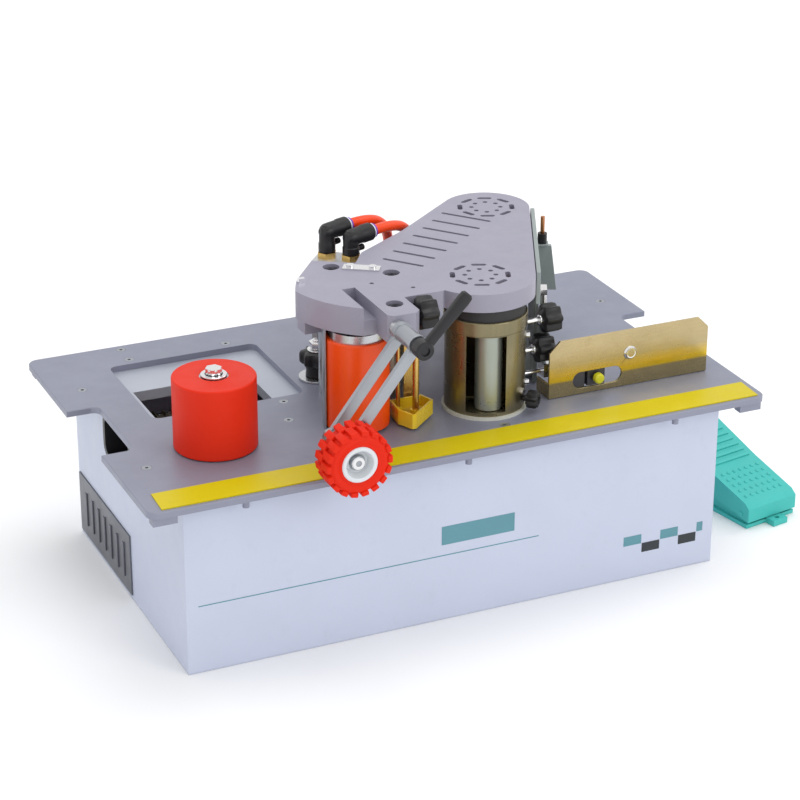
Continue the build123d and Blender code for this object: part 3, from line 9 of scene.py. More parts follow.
import bmesh
import bpy
from bpy.props import FloatProperty, FloatVectorProperty, IntProperty, PointerProperty
from mathutils import Matrix, Vector


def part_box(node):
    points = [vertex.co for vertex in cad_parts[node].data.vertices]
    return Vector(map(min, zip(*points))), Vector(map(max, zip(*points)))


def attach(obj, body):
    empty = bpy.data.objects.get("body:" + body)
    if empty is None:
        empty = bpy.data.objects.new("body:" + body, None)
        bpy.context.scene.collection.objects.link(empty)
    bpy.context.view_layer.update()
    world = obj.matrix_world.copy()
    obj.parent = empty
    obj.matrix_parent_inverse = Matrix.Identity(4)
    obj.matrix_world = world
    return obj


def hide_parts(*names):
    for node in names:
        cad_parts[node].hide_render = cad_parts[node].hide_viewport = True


bl_info = {
    "name": "Edge banding machine",
    "version": (1, 0, 0),
    "blender": (4, 5, 0),
    "location": "View3D > Sidebar > Edge Bander",
    "description": "Builds the finishes and fine pieces of a bench-top edge banding machine",
    "category": "Object",
}

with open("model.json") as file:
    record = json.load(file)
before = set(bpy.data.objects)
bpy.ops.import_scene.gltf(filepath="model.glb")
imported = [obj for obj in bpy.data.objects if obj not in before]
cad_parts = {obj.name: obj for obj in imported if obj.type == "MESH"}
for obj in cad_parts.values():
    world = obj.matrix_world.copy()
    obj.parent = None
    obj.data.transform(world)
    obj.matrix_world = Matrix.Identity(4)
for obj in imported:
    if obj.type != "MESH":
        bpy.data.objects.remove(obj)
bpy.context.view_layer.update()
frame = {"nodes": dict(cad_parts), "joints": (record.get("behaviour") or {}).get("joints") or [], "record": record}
NODES = frame["nodes"]
MM = 0.001
TAU = 2 * math.pi


# ---- places read from the frame ------------------------------------------------------
def low(node):
    """Lowest corner of a node's box."""
    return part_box(node)[0]


def high(node):
    """Highest corner of a node's box."""
    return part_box(node)[1]


def middle(node):
    """Centre of a node's box."""
    return (low(node) + high(node)) / 2


def joint_named(name):
    """Packed joint, with its axis and its place in metres."""
    return next(joint for joint in frame["joints"] if joint["name"] == name)


def mm(*values):
    """Vector in metres from millimetres."""
    return Vector(values) * MM


UP = (0, 0, 1)
ALONG = (1, 0, 0)
INWARD = (0, 1, 0)
CABINET_FRONT = low("cabinet_shell").y


# ---- properties ------------------------------------------------------------------------
def colour(name, description, rgb):
    return FloatVectorProperty(
        name=name, description=description, default=rgb, subtype="COLOR", size=3, min=0, max=1
    )


class BanderColours(bpy.types.PropertyGroup):
    """Paints, plastics and metals of the machine."""

    cabinet: colour("Cabinet", "Powder coat of the cabinet", (0.52, 0.56, 0.69))
    table: colour("Table", "Anodised table plate", (0.25, 0.262, 0.335))
    head: colour("Head", "Silver paint of the head casting", (0.31, 0.30, 0.375))
    strip: colour("Strip", "Wear strip along the table", (0.60, 0.49, 0.002))
    guide: colour("Guide roller", "Anodising of the guide roller", (0.70, 0.022, 0.003))
    roller: colour("Feed roller", "Polyurethane of the feed roller", (0.85, 0.07, 0.002))
    wheel: colour("Press wheel", "Rubber of the press wheel", (0.72, 0.018, 0.002))
    zinc: colour("Zinc", "Yellow passivated zinc", (0.50, 0.40, 0.22))
    teal: colour("Pedal", "Moulding of the foot pedal", (0.06, 0.48, 0.44))
    hose: colour("Hose", "Air hose", (0.84, 0.055, 0.002))
    black: colour("Black", "Black mouldings", (0.012, 0.012, 0.014))
    mark: colour("Marking", "Printed line and blocks on the cabinet", (0.10, 0.27, 0.32))


class BanderSizes(bpy.types.PropertyGroup):
    """Sizes of the fine pieces."""

    edge: FloatProperty(
        name="Edge", description="Rounding of cast edges", default=0.8 * MM, min=0.1 * MM,
        unit="LENGTH",
    )
    knob_lobes: IntProperty(
        name="Knob lobes", description="Lobes of a star knob", default=7, min=4, max=10
    )
    tread_blocks: IntProperty(
        name="Tread blocks", description="Blocks around the tyre", default=18, min=8
    )
    hose: FloatProperty(
        name="Hose", description="Diameter of the air hoses", default=10 * MM, unit="LENGTH"
    )
    pedal_dots: IntProperty(name="Pedal dots", description="Rows of grip dots", default=5, min=1)


# ---- materials -------------------------------------------------------------------------
GRAIN_DEPTH = 0.05 * MM
DRIFT_SCALE, WEAR_SCALE, DIRT_SCALE = 14.0, 38.0, 55.0
DIRT = (0.05, 0.045, 0.04, 1)
COAT_ROUGHNESS = 0.12


def add_node(tree, kind, **settings):
    """Node with some of its sockets or settings filled in."""
    node = tree.nodes.new(kind)
    for key, value in settings.items():
        if key in node.inputs:
            node.inputs[key].default_value = value
        else:
            setattr(node, key, value)
    return node


def shade(rgb, factor):
    """Same hue, lighter or darker."""
    return tuple(min(1.0, channel * factor) for channel in rgb) + (1.0,)


def noise(tree, coords, scale, detail, roughness=0.55):
    """Noise pattern of one scale."""
    texture = add_node(tree, "ShaderNodeTexNoise", Scale=scale, Detail=detail, Roughness=roughness)
    tree.links.new(coords, texture.inputs["Vector"])
    return texture.outputs["Fac"]


def remap(tree, value, from_low, from_high, to_low, to_high):
    """Carries a value from one range to another."""
    node = tree.nodes.new("ShaderNodeMapRange")
    tree.links.new(value, node.inputs["Value"])
    for index, number in enumerate((from_low, from_high, to_low, to_high)):
        node.inputs[index + 1].default_value = number
    return node.outputs["Result"]


def mix_colours(tree, factor, first, second):
    """Blend of two colours; each is an RGBA value or a socket."""
    node = tree.nodes.new("ShaderNodeMix")
    node.data_type = "RGBA"
    tree.links.new(factor, node.inputs[0])
    for socket, value in ((node.inputs[6], first), (node.inputs[7], second)):
        if isinstance(value, bpy.types.NodeSocket):
            tree.links.new(value, socket)
        else:
            socket.default_value = value
    return node.outputs[2]


def finish(
    name, rgb, rough=0.45, metal=0.0, vary=0.05, grain=300.0, bump=0.15, stretch=(1, 1, 1),
    rough_vary=0.08, coat=0.0, gloss=0.5, soil=0.0, bands=(),
):
    """Procedural finish: colour drift, fine grain, worn roughness and soft bands of painted reflection and shade
    by height.
    """
    material = bpy.data.materials.new(name)
    material.use_nodes = True
    tree = material.node_tree
    shader = tree.nodes["Principled BSDF"]
    shader.inputs["Metallic"].default_value = metal
    shader.inputs["Coat Weight"].default_value = coat
    shader.inputs["Coat Roughness"].default_value = COAT_ROUGHNESS
    shader.inputs["Specular IOR Level"].default_value = gloss
    coords = tree.nodes.new("ShaderNodeTexCoord").outputs["Object"]
    mapping = tree.nodes.new("ShaderNodeMapping")
    mapping.inputs["Scale"].default_value = stretch
    tree.links.new(coords, mapping.inputs["Vector"])
    stretched = mapping.outputs["Vector"]
    drift = noise(tree, coords, DRIFT_SCALE, 2.0)
    fine = noise(tree, stretched, grain, 4.0)
    share = remap(tree, drift, 0.3, 0.7, 0, 1)
    base = mix_colours(tree, share, shade(rgb, 1 - vary), shade(rgb, 1 + vary))
    # Bands of painted reflection and shade, laid by height.
    if bands:
        base = painted_light_bands(tree, coords, base, bands)
    speckle = remap(tree, fine, 0.35, 0.65, 0, 0.25)
    base = mix_colours(tree, speckle, base, shade(rgb, 1 - 2.2 * vary))
    if soil:
        dirt = remap(tree, noise(tree, coords, DIRT_SCALE, 6.0, 0.7), 0.56, 0.74, 0, soil)
        base = mix_colours(tree, dirt, base, DIRT)
    tree.links.new(base, shader.inputs["Base Color"])
    worn = noise(tree, coords, WEAR_SCALE, 5.0, 0.65)
    tree.links.new(
        remap(tree, worn, 0.3, 0.7, max(0.03, rough - rough_vary), min(1, rough + rough_vary)),
        shader.inputs["Roughness"],
    )
    relief = add_node(tree, "ShaderNodeBump", Strength=bump, Distance=GRAIN_DEPTH)
    tree.links.new(fine, relief.inputs["Height"])
    tree.links.new(relief.outputs["Normal"], shader.inputs["Normal"])
    return material


def painted_light_bands(tree, coords, base, bands):
    """Lays soft bands of painted reflection and shade over a finish: each is (axis, start, end, rgb, strength)."""
    parts = tree.nodes.new("ShaderNodeSeparateXYZ")
    tree.links.new(coords, parts.inputs["Vector"])
    for axis, start, end, rgb, strength in bands:
        share = remap(tree, parts.outputs[axis], start, end, 0, strength)
        base = mix_colours(tree, share, base, (*rgb, 1.0))
    return base


def build_materials(colours):
    """All finishes by key, from rows of name, colour, roughness, metal and the rest."""
    crease = low("fence").z + 15 * MM
    # Painted light on the fence: the gold band just above the crease is a painted reflection of the yellow wear
    # strip, and the dark olive below the crease is painted shade.
    zinc_painted_light_bands = (
        ("Z", crease + 16 * MM, crease + 3 * MM, (0.78, 0.52, 0.01), 0.95),
        ("Z", crease + 1 * MM, crease - 1 * MM, (0.26, 0.22, 0.13), 0.92),
    )
    upright = (1, 1, 0.05)
    lip = shade(colours.cabinet, 0.9)[:3]
    rows = {
        "cabinet": (
            "cabinet_powder_coat", colours.cabinet, 0.38, 0,
            dict(vary=0.02, grain=900, bump=0.12, soil=0.04),
        ),
        "bottom": ("cabinet_lip", lip, 0.4, 0, dict(vary=0.03, grain=900)),
        "vent": (
            "vent_steel", (0.17, 0.175, 0.20), 0.42, 0.6,
            dict(grain=420, stretch=(1, 0.04, 1), bump=0.2),
        ),
        "table": (
            "table_anodised", colours.table, 0.45, 0.25,
            dict(vary=0.04, grain=1500, soil=0.05),
        ),
        "ledge": (
            "ledge_sheet", (0.44, 0.47, 0.54), 0.42, 0.35,
            dict(vary=0.03, grain=260, bump=0.04),
        ),
        "strip": (
            "wear_strip", colours.strip, 0.42, 0,
            dict(vary=0.03, grain=700, gloss=0.25, soil=0.10),
        ),
        "head": (
            "head_paint", colours.head, 0.42, 0.2,
            dict(vary=0.04, grain=1100, bump=0.25, soil=0.05),
        ),
        "wall": ("wall_paint", (0.30, 0.34, 0.335), 0.45, 0.25, dict(grain=800)),
        "housing": ("housing_paint", (0.33, 0.35, 0.38), 0.5, 0.2, dict(grain=900)),
        "guide": (
            "guide_anodised", colours.guide, 0.5, 0,
            dict(vary=0.03, grain=800, bump=0.12, gloss=0.22),
        ),
        "roller": (
            "roller_urethane", colours.roller, 0.36, 0,
            dict(vary=0.06, grain=500, bump=0.12, gloss=0.35, coat=0.12),
        ),
        "rubber": ("belt_rubber", (0.02, 0.02, 0.02), 0.7, 0, dict(vary=0.1, grain=900)),
        "wheel": (
            "wheel_rubber", colours.wheel, 0.6, 0,
            dict(vary=0.04, grain=900, bump=0.2, gloss=0.2, soil=0.06),
        ),
        "white": ("hub_nylon", (0.66, 0.69, 0.72), 0.4, 0, dict(vary=0.03, grain=700)),
        "steel": (
            "turned_steel", (0.52, 0.53, 0.55), 0.28, 0.95,
            dict(vary=0.04, grain=700, stretch=upright),
        ),
        "bar": ("bar_steel", (0.36, 0.38, 0.41), 0.36, 0.85, dict(grain=600, stretch=(1, 0.1, 1))),
        "bright": ("bright_screw", (0.75, 0.75, 0.76), 0.2, 0.95, dict(vary=0.03, grain=500)),
        "belt": ("drive_belt", (0.75, 0.04, 0.01), 0.5, 0, dict(vary=0.06, grain=700, gloss=0.3)),
        "beige": ("terminal_moulding", (0.30, 0.28, 0.22), 0.5, 0, dict(vary=0.08, grain=500)),
        "cream": ("terminal_cream", (0.62, 0.52, 0.20), 0.45, 0, dict(vary=0.06, grain=500)),
        "dark_screw": (
            "blackened_screw", (0.10, 0.10, 0.11), 0.35, 0.8,
            dict(vary=0.08, grain=700),
        ),
        # The fence carries bands of painted reflection and shade by height.
        "zinc": (
            "zinc_fence", colours.zinc, 0.26, 0.92,
            dict(vary=0.10, grain=520, stretch=(0.08, 1, 1), soil=0.1, bands=zinc_painted_light_bands),
        ),
        "pot": (
            "zinc_pot", (0.27, 0.235, 0.14), 0.3, 0.9,
            dict(vary=0.18, grain=520, stretch=(1, 1, 0.06), soil=0.2),
        ),
        "pot_ring": ("pot_base_paint", (0.62, 0.63, 0.56), 0.5, 0.1, dict(soil=0.25)),
        "lid": ("lid_board", (0.02, 0.02, 0.022), 0.6, 0, dict(vary=0.15, grain=700, bump=0.3)),
        "glue_roller": (
            "glue_roller", (0.37, 0.40, 0.35), 0.33, 0.7,
            dict(vary=0.07, stretch=upright),
        ),
        "black": (
            "black_moulding", colours.black, 0.38, 0,
            dict(vary=0.2, grain=900, bump=0.2, rough_vary=0.1, gloss=0.4),
        ),
        "motor": ("motor_enamel", (0.03, 0.03, 0.033), 0.4, 0.2, dict(vary=0.1, grain=700)),
        "brass": (
            "turned_brass", (0.62, 0.42, 0.14), 0.28, 0.95,
            dict(vary=0.06, grain=500, stretch=(1, 1, 0.08)),
        ),
        "copper": ("copper_tube", (0.50, 0.22, 0.10), 0.3, 0.95, dict(vary=0.08, grain=500)),
        "shoe": ("shoe_enamel", (0.80, 0.56, 0.02), 0.3, 0, dict(coat=0.3, soil=0.15)),
        "nut": ("lock_nut", (0.60, 0.58, 0.02), 0.35, 0, dict()),
        "cylinder": ("cylinder_anodised", (0.55, 0.56, 0.58), 0.35, 0.6, dict(vary=0.04)),
        "collet": ("collet_moulding", (0.16, 0.05, 0.42), 0.3, 0, dict(vary=0.06)),
        "collet_white": ("collet_ring", (0.72, 0.73, 0.80), 0.35, 0, dict(vary=0.03)),
        "hose": ("air_hose", colours.hose, 0.35, 0, dict(vary=0.03, bump=0.05, gloss=0.3)),
        "electrics": ("controller_case", (0.17, 0.175, 0.18), 0.5, 0, dict(vary=0.12, grain=500)),
        "pedal": (
            "pedal_moulding", colours.teal, 0.55, 0,
            dict(vary=0.04, grain=1100, bump=0.25, gloss=0.3, soil=0.05),
        ),
        "mark": ("printed_mark", colours.mark, 0.4, 0, dict(grain=900)),
        "mark_dark": ("printed_dark", (0.02, 0.025, 0.03), 0.4, 0, dict(vary=0.1, grain=900)),
    }
    return {
        key: finish(name, rgb, rough, metal, **rest)
        for key, (name, rgb, rough, metal, rest) in rows.items()
    }


MATERIALS = {}
# Finish of each CAD node, as lists of the nodes that share one.
CAD_FINISH = {
    "cabinet": "cabinet_shell",
    "bottom": "bottom_plate",
    "vent": "vent_panel",
    "black": (
        "hand_cups upper_knob lower_knob gap_knob clamp_lever arm_knob "
        "heat_probe elbow_bodies gauge_knob inlet_panel"
    ),
    "table": "table_plate table_spacers",
    "bar": "table_screws press_arm roller_guard",
    "strip": "edge_strip",
    "ledge": "window_ledge",
    "electrics": "electrics",
    "guide": "guide_roller",
    "steel": (
        "guide_bearings feed_shaft head_pillars motor_shaft "
        "pivot_pin cutter_blade gauge_seat"
    ),
    "bright": "guide_bolt clip_plate pot_screws",
    "roller": "feed_roller",
    "head": "head_casting",
    "dark_screw": "head_bolts fence_rail",
    "belt": "drive_belt",
    "rubber": "feed_belt",
    "motor": "motor",
    "housing": "rear_housing",
    "wall": "side_wall side_bracket",
    "pot": "glue_pot",
    "pot_ring": "pot_base_ring",
    "lid": "pot_lid",
    "glue_roller": "glue_roller",
    "wheel": "press_tyre",
    "white": "press_hub",
    "brass": "guide_rods elbow_bases hose_bulkheads",
    "shoe": "tape_shoe",
    "zinc": "fence",
    "nut": "fence_lock",
    "cylinder": "cutter_cylinder",
    "collet": "elbow_collets",
    "hose": "hose_left hose_right",
    "pedal": "pedal_base pedal_plate",
}


def node_body(node):
    """Body that carries a node."""
    for body, members in frame["record"]["behaviour"]["bodies"].items():
        if node in members:
            return body
    raise ValueError(f"no body holds {node}")


# ---- mesh helpers ----------------------------------------------------------------------
def piece(name, mesh, node, material, stands_for=(), sharp=30.0):
    """Finished object that rides with a CAD node's body, and hides the CAD nodes that it stands for."""
    obj = bpy.data.objects.new(name, mesh)
    bpy.context.scene.collection.objects.link(obj)
    mesh.materials.clear()
    mesh.materials.append(MATERIALS[material])
    mesh.polygons.foreach_set("use_smooth", [True] * len(mesh.polygons))
    mesh.set_sharp_from_angle(angle=math.radians(sharp))
    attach(obj, node_body(node))
    if stands_for:
        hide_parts(*stands_for)
    return obj


def to_mesh(bm, name):
    """Mesh from a bmesh, with doubles merged and faces turned outwards."""
    bmesh.ops.remove_doubles(bm, verts=bm.verts, dist=1e-6)
    bmesh.ops.recalc_face_normals(bm, faces=bm.faces)
    mesh = bpy.data.meshes.new(name)
    bm.to_mesh(mesh)
    bm.free()
    return mesh


def axis_turn(axis):
    """Matrix that turns +Z onto an axis."""
    return Vector((0, 0, 1)).rotation_difference(Vector(axis)).to_matrix().to_4x4()


def place(centre, axis):
    """Matrix that puts a shape made along +Z at a centre, along an axis."""
    return Matrix.Translation(centre) @ axis_turn(axis)


def profile(*points):
    """Outline for a lathe, from (radius, height) points in millimetres."""
    return [(radius * MM, height * MM) for radius, height in points]


def settle(bm):
    """Marks every vertex as placed, so that the next shape moves only its own."""
    for v in bm.verts:
        v.tag = True


def lathe(bm, outline, matrix, steps=48):
    """Turns an outline of (radius, height) points into a closed solid of revolution."""
    verts = [bm.verts.new((radius, 0, height)) for radius, height in outline]
    edges = [bm.edges.new(pair) for pair in zip(verts, verts[1:])]
    bmesh.ops.spin(
        bm, geom=verts + edges, cent=(0, 0, 0), axis=UP, angle=TAU, steps=steps, use_merge=True
    )
    fresh = {v for face in bm.faces for v in face.verts if not v.tag}
    bmesh.ops.transform(bm, matrix=matrix, verts=list(fresh))
    settle(bm)


def drum(bm, radius, length, matrix, edge=0.0, segments=40, top_radius=None):
    """Solid cylinder or cone from its base along the matrix's Z, with rounded rims."""
    made = bmesh.ops.create_cone(
        bm, cap_ends=True, segments=segments, radius1=radius,
        radius2=radius if top_radius is None else top_radius, depth=length,
        matrix=matrix @ Matrix.Translation((0, 0, length / 2)),
    )
    if edge:
        bmesh.ops.bevel(
            bm, geom=rim_edges(made["verts"]), offset=edge, segments=3, profile=0.5, affect="EDGES",
            material=-1,
        )
    settle(bm)


def rim_edges(verts):
    """Edges between an end cap and the wall of a cylinder."""
    chosen = set(verts)
    rims = []
    for edge in {e for v in verts for e in v.link_edges}:
        if set(edge.verts) <= chosen and any(len(f.verts) > 4 for f in edge.link_faces):
            rims.append(edge)
    return rims


def slab(bm, low_corner, high_corner, edge=0.0, matrix=Matrix.Identity(4), segments=2):
    """Box between two corners, with rounded edges where an edge is given."""
    size = Vector(high_corner) - Vector(low_corner)
    centre = (Vector(high_corner) + Vector(low_corner)) / 2
    scale = Matrix.Diagonal((*size, 1))
    made = bmesh.ops.create_cube(bm, size=1, matrix=matrix @ Matrix.Translation(centre) @ scale)
    if edge:
        edges = {e for v in made["verts"] for e in v.link_edges}
        bmesh.ops.bevel(
            bm, geom=list(edges), offset=edge, segments=segments, profile=0.5, affect="EDGES",
            material=-1,
        )
    settle(bm)


def softened(node, material, edge, segments=2, sharp=35.0):
    """Copy of a CAD node with clean faces and rounded edges, which stands for the node."""
    name = node + "_skin"
    bm = bmesh.new()
    bm.from_mesh(NODES[node].data)
    bmesh.ops.remove_doubles(bm, verts=bm.verts, dist=1e-5)
    bmesh.ops.dissolve_limit(bm, angle_limit=math.radians(0.8), verts=bm.verts, edges=bm.edges)
    mesh = bpy.data.meshes.new(name)
    bm.to_mesh(mesh)
    bm.free()
    obj = piece(name, mesh, node, material, stands_for=(node,), sharp=sharp)
    bevel = obj.modifiers.new("Edges", "BEVEL")
    bevel.width = edge
    bevel.segments = segments
    bevel.limit_method = "ANGLE"
    bevel.angle_limit = math.radians(sharp)
    bevel.use_clamp_overlap = True
    bevel.harden_normals = True


STAR_LEVELS = (
    (0.62, 0.0), (0.90, 0.06), (1.0, 0.20), (1.0, 0.74), (0.93, 0.92), (0.70, 1.0), (0.44, 1.0),
    (0.40, 0.90),
)
STAR_DIP = 0.22
STEPS_PER_LOBE = 8


def skin_rings(bm, rings):
    """Bridges a stack of closed rings of vertices and caps both ends."""
    previous = None
    for ring in rings:
        edges = list({e for v in ring for e in v.link_edges if e.is_wire})
        if previous is None:
            bmesh.ops.contextual_create(bm, geom=edges)
        else:
            bmesh.ops.bridge_loops(bm, edges=previous + edges)
        previous = edges
    bmesh.ops.contextual_create(bm, geom=previous)


def star(bm, matrix, radius, thick, lobes):
    """Star knob: a stack of lobed outlines over a dished top. Each level is a share of the
    radius and of the thickness."""
    rings = []
    for share, height in STAR_LEVELS:
        ring = bmesh.ops.create_circle(bm, segments=lobes * STEPS_PER_LOBE, radius=1.0)["verts"]
        for v in ring:
            angle = math.atan2(v.co.y, v.co.x)
            dip = STAR_DIP * (0.5 - 0.5 * math.cos(lobes * angle))
            swell = 1 - dip * min(1, share * 1.2) ** 3
            v.co = Vector((math.cos(angle), math.sin(angle), 0)) * radius * share * swell
            v.co.z = height * thick
        rings.append(ring)
    skin_rings(bm, rings)
    bmesh.ops.transform(bm, matrix=matrix, verts=[v for v in bm.verts if not v.tag])
    settle(bm)


# ---- operators -------------------------------------------------------------------------
class BANDING_OT_finishes(bpy.types.Operator):
    """Make the finishes and put them on the CAD pieces"""

    bl_idname = "banding.finishes"
    bl_label = "Finishes"

    def execute(self, context):
        MATERIALS.update(build_materials(context.scene.bander_colours))
        for finish_name, nodes in CAD_FINISH.items():
            for node in nodes.split():
                materials = NODES[node].data.materials
                materials.clear()
                materials.append(MATERIALS[finish_name])
        return {"FINISHED"}


class BANDING_OT_stage(bpy.types.Operator):
    """Add the floor, the lights and the camera"""

    bl_idname = "banding.stage"
    bl_label = "Stage"

    def execute(self, context):
        self.floor()
        self.lights(context.scene)
        self.camera(context.scene)
        return {"FINISHED"}

    def floor(self):
        bm = bmesh.new()
        bmesh.ops.create_grid(bm, x_segments=1, y_segments=1, size=14.0)
        mesh = bpy.data.meshes.new("floor")
        bm.to_mesh(mesh)
        bm.free()
        obj = bpy.data.objects.new("floor", mesh)
        obj.location.z = -0.2 * MM
        bpy.context.scene.collection.objects.link(obj)
        mesh.materials.append(
            finish("studio_floor", (0.93, 0.935, 0.94), 0.85, vary=0.004, grain=4, bump=0.0)
        )

    def lights(self, scene):
        world = bpy.data.worlds.new("studio")
        scene.world = world
        world.use_nodes = True
        background = world.node_tree.nodes["Background"]
        background.inputs["Color"].default_value = (1.0, 1.0, 1.0, 1)
        background.inputs["Strength"].default_value = 1.0
        scene.view_settings.view_transform = "Standard"
        for name, spot, aim, size, watts in (
            ("front", (1.3, -2.6, 1.7), (0, 0, 0.15), 1.2, 16),
            ("side", (2.4, 0.4, 2.0), (0, 0, 0.15), 1.2, 8),
            ("top", (0.2, 0.3, 2.8), (0, 0, 0.2), 1.6, 14),
        ):
            lamp = bpy.data.lights.new(name, "AREA")
            lamp.shape = "SQUARE"
            lamp.size = size
            lamp.energy = watts
            obj = bpy.data.objects.new(name, lamp)
            obj.location = spot
            obj.rotation_euler = (Vector(aim) - Vector(spot)).to_track_quat("-Z", "Y").to_euler()
            scene.collection.objects.link(obj)

    def camera(self, scene):
        """Long lens from the front left, above the table. The three vectors are its axes."""
        right = Vector((0.91136, -0.41161, 0.00227))
        up = Vector((0.16613, 0.37287, 0.91289))
        back = Vector((-0.37660, -0.83159, 0.40820))
        data = bpy.data.cameras.new("view")
        data.sensor_width = 36.0
        data.lens = 111.98
        data.clip_end = 60.0
        obj = bpy.data.objects.new("view", data)
        turn = Matrix((right, up, back)).transposed().to_4x4()
        obj.matrix_world = Matrix.Translation(mm(-872.9, -1943.56, 1106.17)) @ turn
        scene.collection.objects.link(obj)
        scene.camera = obj


class BANDING_OT_air_lines(bpy.types.Operator):
    """Add the two air hoses and their swivel elbows"""

    bl_idname = "banding.air_lines"
    bl_label = "Air lines"

    ELBOW_TURN = math.radians(20)
    ELBOW_REACH = 28.5 * MM
    # Real length in metres and route in millimetres of each hose.
    HOSES = {
        "left": (0.1677, (
            (-11.22, 75.75, 305), (11.33, 83.96, 305), (36, 101, 291),
            (51, 122, 261), (54, 134, 222), (54, 134, 190),
        )),
        "right": (0.1727, (
            (6.48, 60.25, 301.5), (29.03, 68.46, 301.5), (54, 88, 288),
            (73, 114, 256), (80, 132, 218), (80, 132, 190),
        )),
    }

    def execute(self, context):
        for side, (length, route) in self.HOSES.items():
            self.hose(side, route, context.scene.bander_sizes.hose, length)
        self.elbows()
        return {"FINISHED"}

    def hose(self, side, route, diameter, length):
        """One hose on its route, as a curve with a round bevel."""
        curve = bpy.data.curves.new(f"air_hose_{side}", "CURVE")
        curve.dimensions = "3D"
        curve.resolution_u = 14
        curve.bevel_depth = diameter / 2
        curve.bevel_resolution = 6
        spline = curve.splines.new("NURBS")
        spline.points.add(len(route) - 1)
        for point, spot in zip(spline.points, route):
            point.co = (*mm(*spot), 1)
        spline.order_u = 3
        spline.use_endpoint_u = True
        curve.materials.append(MATERIALS["hose"])
        obj = bpy.data.objects.new(f"air_hose_{side}", curve)
        bpy.context.scene.collection.objects.link(obj)
        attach(obj, "root")
        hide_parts(f"hose_{side}")

    def elbows(self):
        """Swivel elbows with their release pins and the white rings at their mouths."""
        bodies = bmesh.new()
        whites = bmesh.new()
        out = Vector((math.cos(self.ELBOW_TURN), math.sin(self.ELBOW_TURN), 0))
        base = low("elbow_bodies").z
        mouth = profile(
            (0, -7), (5, -6), (7.6, -2), (8, 4), (8, 13), (8.6, 14.5), (8.6, 23.6), (7.8, 24.6),
            (0, 24.6),
        )
        ring = profile((5.2, 24.3), (7.5, 24.3), (7.7, 25), (7.5, 26), (5.2, 26), (5.2, 24.3))
        for _, route in self.HOSES.values():
            knee = mm(*route[0]) - out * self.ELBOW_REACH
            foot = Vector((knee.x, knee.y, base))
            rise = (knee.z - base) / MM
            stem = profile(
                (0, 0), (7.2, 0), (8, 0.8), (8, rise * 0.42), (7.4, rise * 0.48), (7.4, rise * 0.8),
                (6.6, rise + 4), (4, rise + 6.8), (0, rise + 7.4),
            )
            lathe(bodies, stem, place(foot, UP))
            lathe(bodies, mouth, place(knee, out))
            pin = knee - mm(0, 0, 12.5)
            drum(bodies, 3 * MM, 15.5 * MM, place(pin, out), 0.8 * MM, 20)
            lathe(whites, ring, place(knee, out))
        mesh = to_mesh(bodies, "elbow_mouldings")
        piece("elbow_mouldings", mesh, "elbow_bodies", "black", ("elbow_bodies",))
        piece("elbow_rings", to_mesh(whites, "elbow_rings"), "elbow_collets", "collet_white")


class BANDING_OT_cabinet(bpy.types.Operator):
    """Add the printed line and blocks and the louvres of the cabinet"""

    bl_idname = "banding.cabinet"
    bl_label = "Cabinet"

    # Panels are (x0, x1, z0, z1) in mm, and so are the blocks' sizes.
    LINE = (-252, 78, 65, 66)
    BADGE = (-20, 53, 76, 94.5)
    BLOCK_START, BLOCK_STEP, BLOCK_WIDE, BLOCK_LAST = 167.5, 19.6, 18.9, 6.4
    BLOCK_LOW, BLOCK_TALL = 25.2, 9.6
    PRINT_FRONT, PRINT_BACK = 0.12 * MM, 0.01 * MM
    LOUVRES = 7
    LOUVRE_MARGIN_Y, LOUVRE_MARGIN_Z = 20 * MM, 13 * MM

    def execute(self, context):
        self.prints()
        self.louvres()
        return {"FINISHED"}

    def printed(self, name, panels, material):
        """Thin printed panels on the cabinet's front, each (x0, x1, z0, z1) in mm."""
        bm = bmesh.new()
        for x0, x1, z0, z1 in panels:
            near = (x0 * MM, CABINET_FRONT - self.PRINT_FRONT, z0 * MM)
            far = (x1 * MM, CABINET_FRONT - self.PRINT_BACK, z1 * MM)
            slab(bm, near, far)
        piece(name, to_mesh(bm, name), "cabinet_shell", material)

    def prints(self):
        """A line, a plain badge and a chequer of two rows, whose last block is a short one."""
        self.printed("front_line", [self.LINE], "mark")
        self.printed("front_badge", [self.BADGE], "mark")
        middle_edge = self.BLOCK_LOW + self.BLOCK_TALL
        upper_row, lower_row = [], []
        for index in range(5):
            start = self.BLOCK_START + self.BLOCK_STEP * index
            end = start + (self.BLOCK_LAST if index == 4 else self.BLOCK_WIDE)
            if index % 2:
                lower_row.append((start, end, self.BLOCK_LOW, middle_edge))
            else:
                upper_row.append((start, end, middle_edge, middle_edge + self.BLOCK_TALL))
        self.printed("front_blocks_teal", upper_row, "mark")
        self.printed("front_blocks_dark", lower_row, "mark_dark")

    def louvres(self):
        """Folded louvre hoods over the vent panel's slots."""
        bm = bmesh.new()
        lower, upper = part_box("vent_panel")
        span = upper.y - lower.y - 2 * self.LOUVRE_MARGIN_Y
        for index in range(self.LOUVRES):
            y = lower.y + self.LOUVRE_MARGIN_Y + span * index / (self.LOUVRES - 1)
            slab(
                bm,
                (lower.x - 1.6 * MM, y - 4.5 * MM, lower.z + self.LOUVRE_MARGIN_Z),
                (lower.x + 0.2 * MM, y - 2.4 * MM, upper.z - self.LOUVRE_MARGIN_Z),
                0.6 * MM,
            )
        piece("vent_louvres", to_mesh(bm, "vent_louvres"), "vent_panel", "vent")


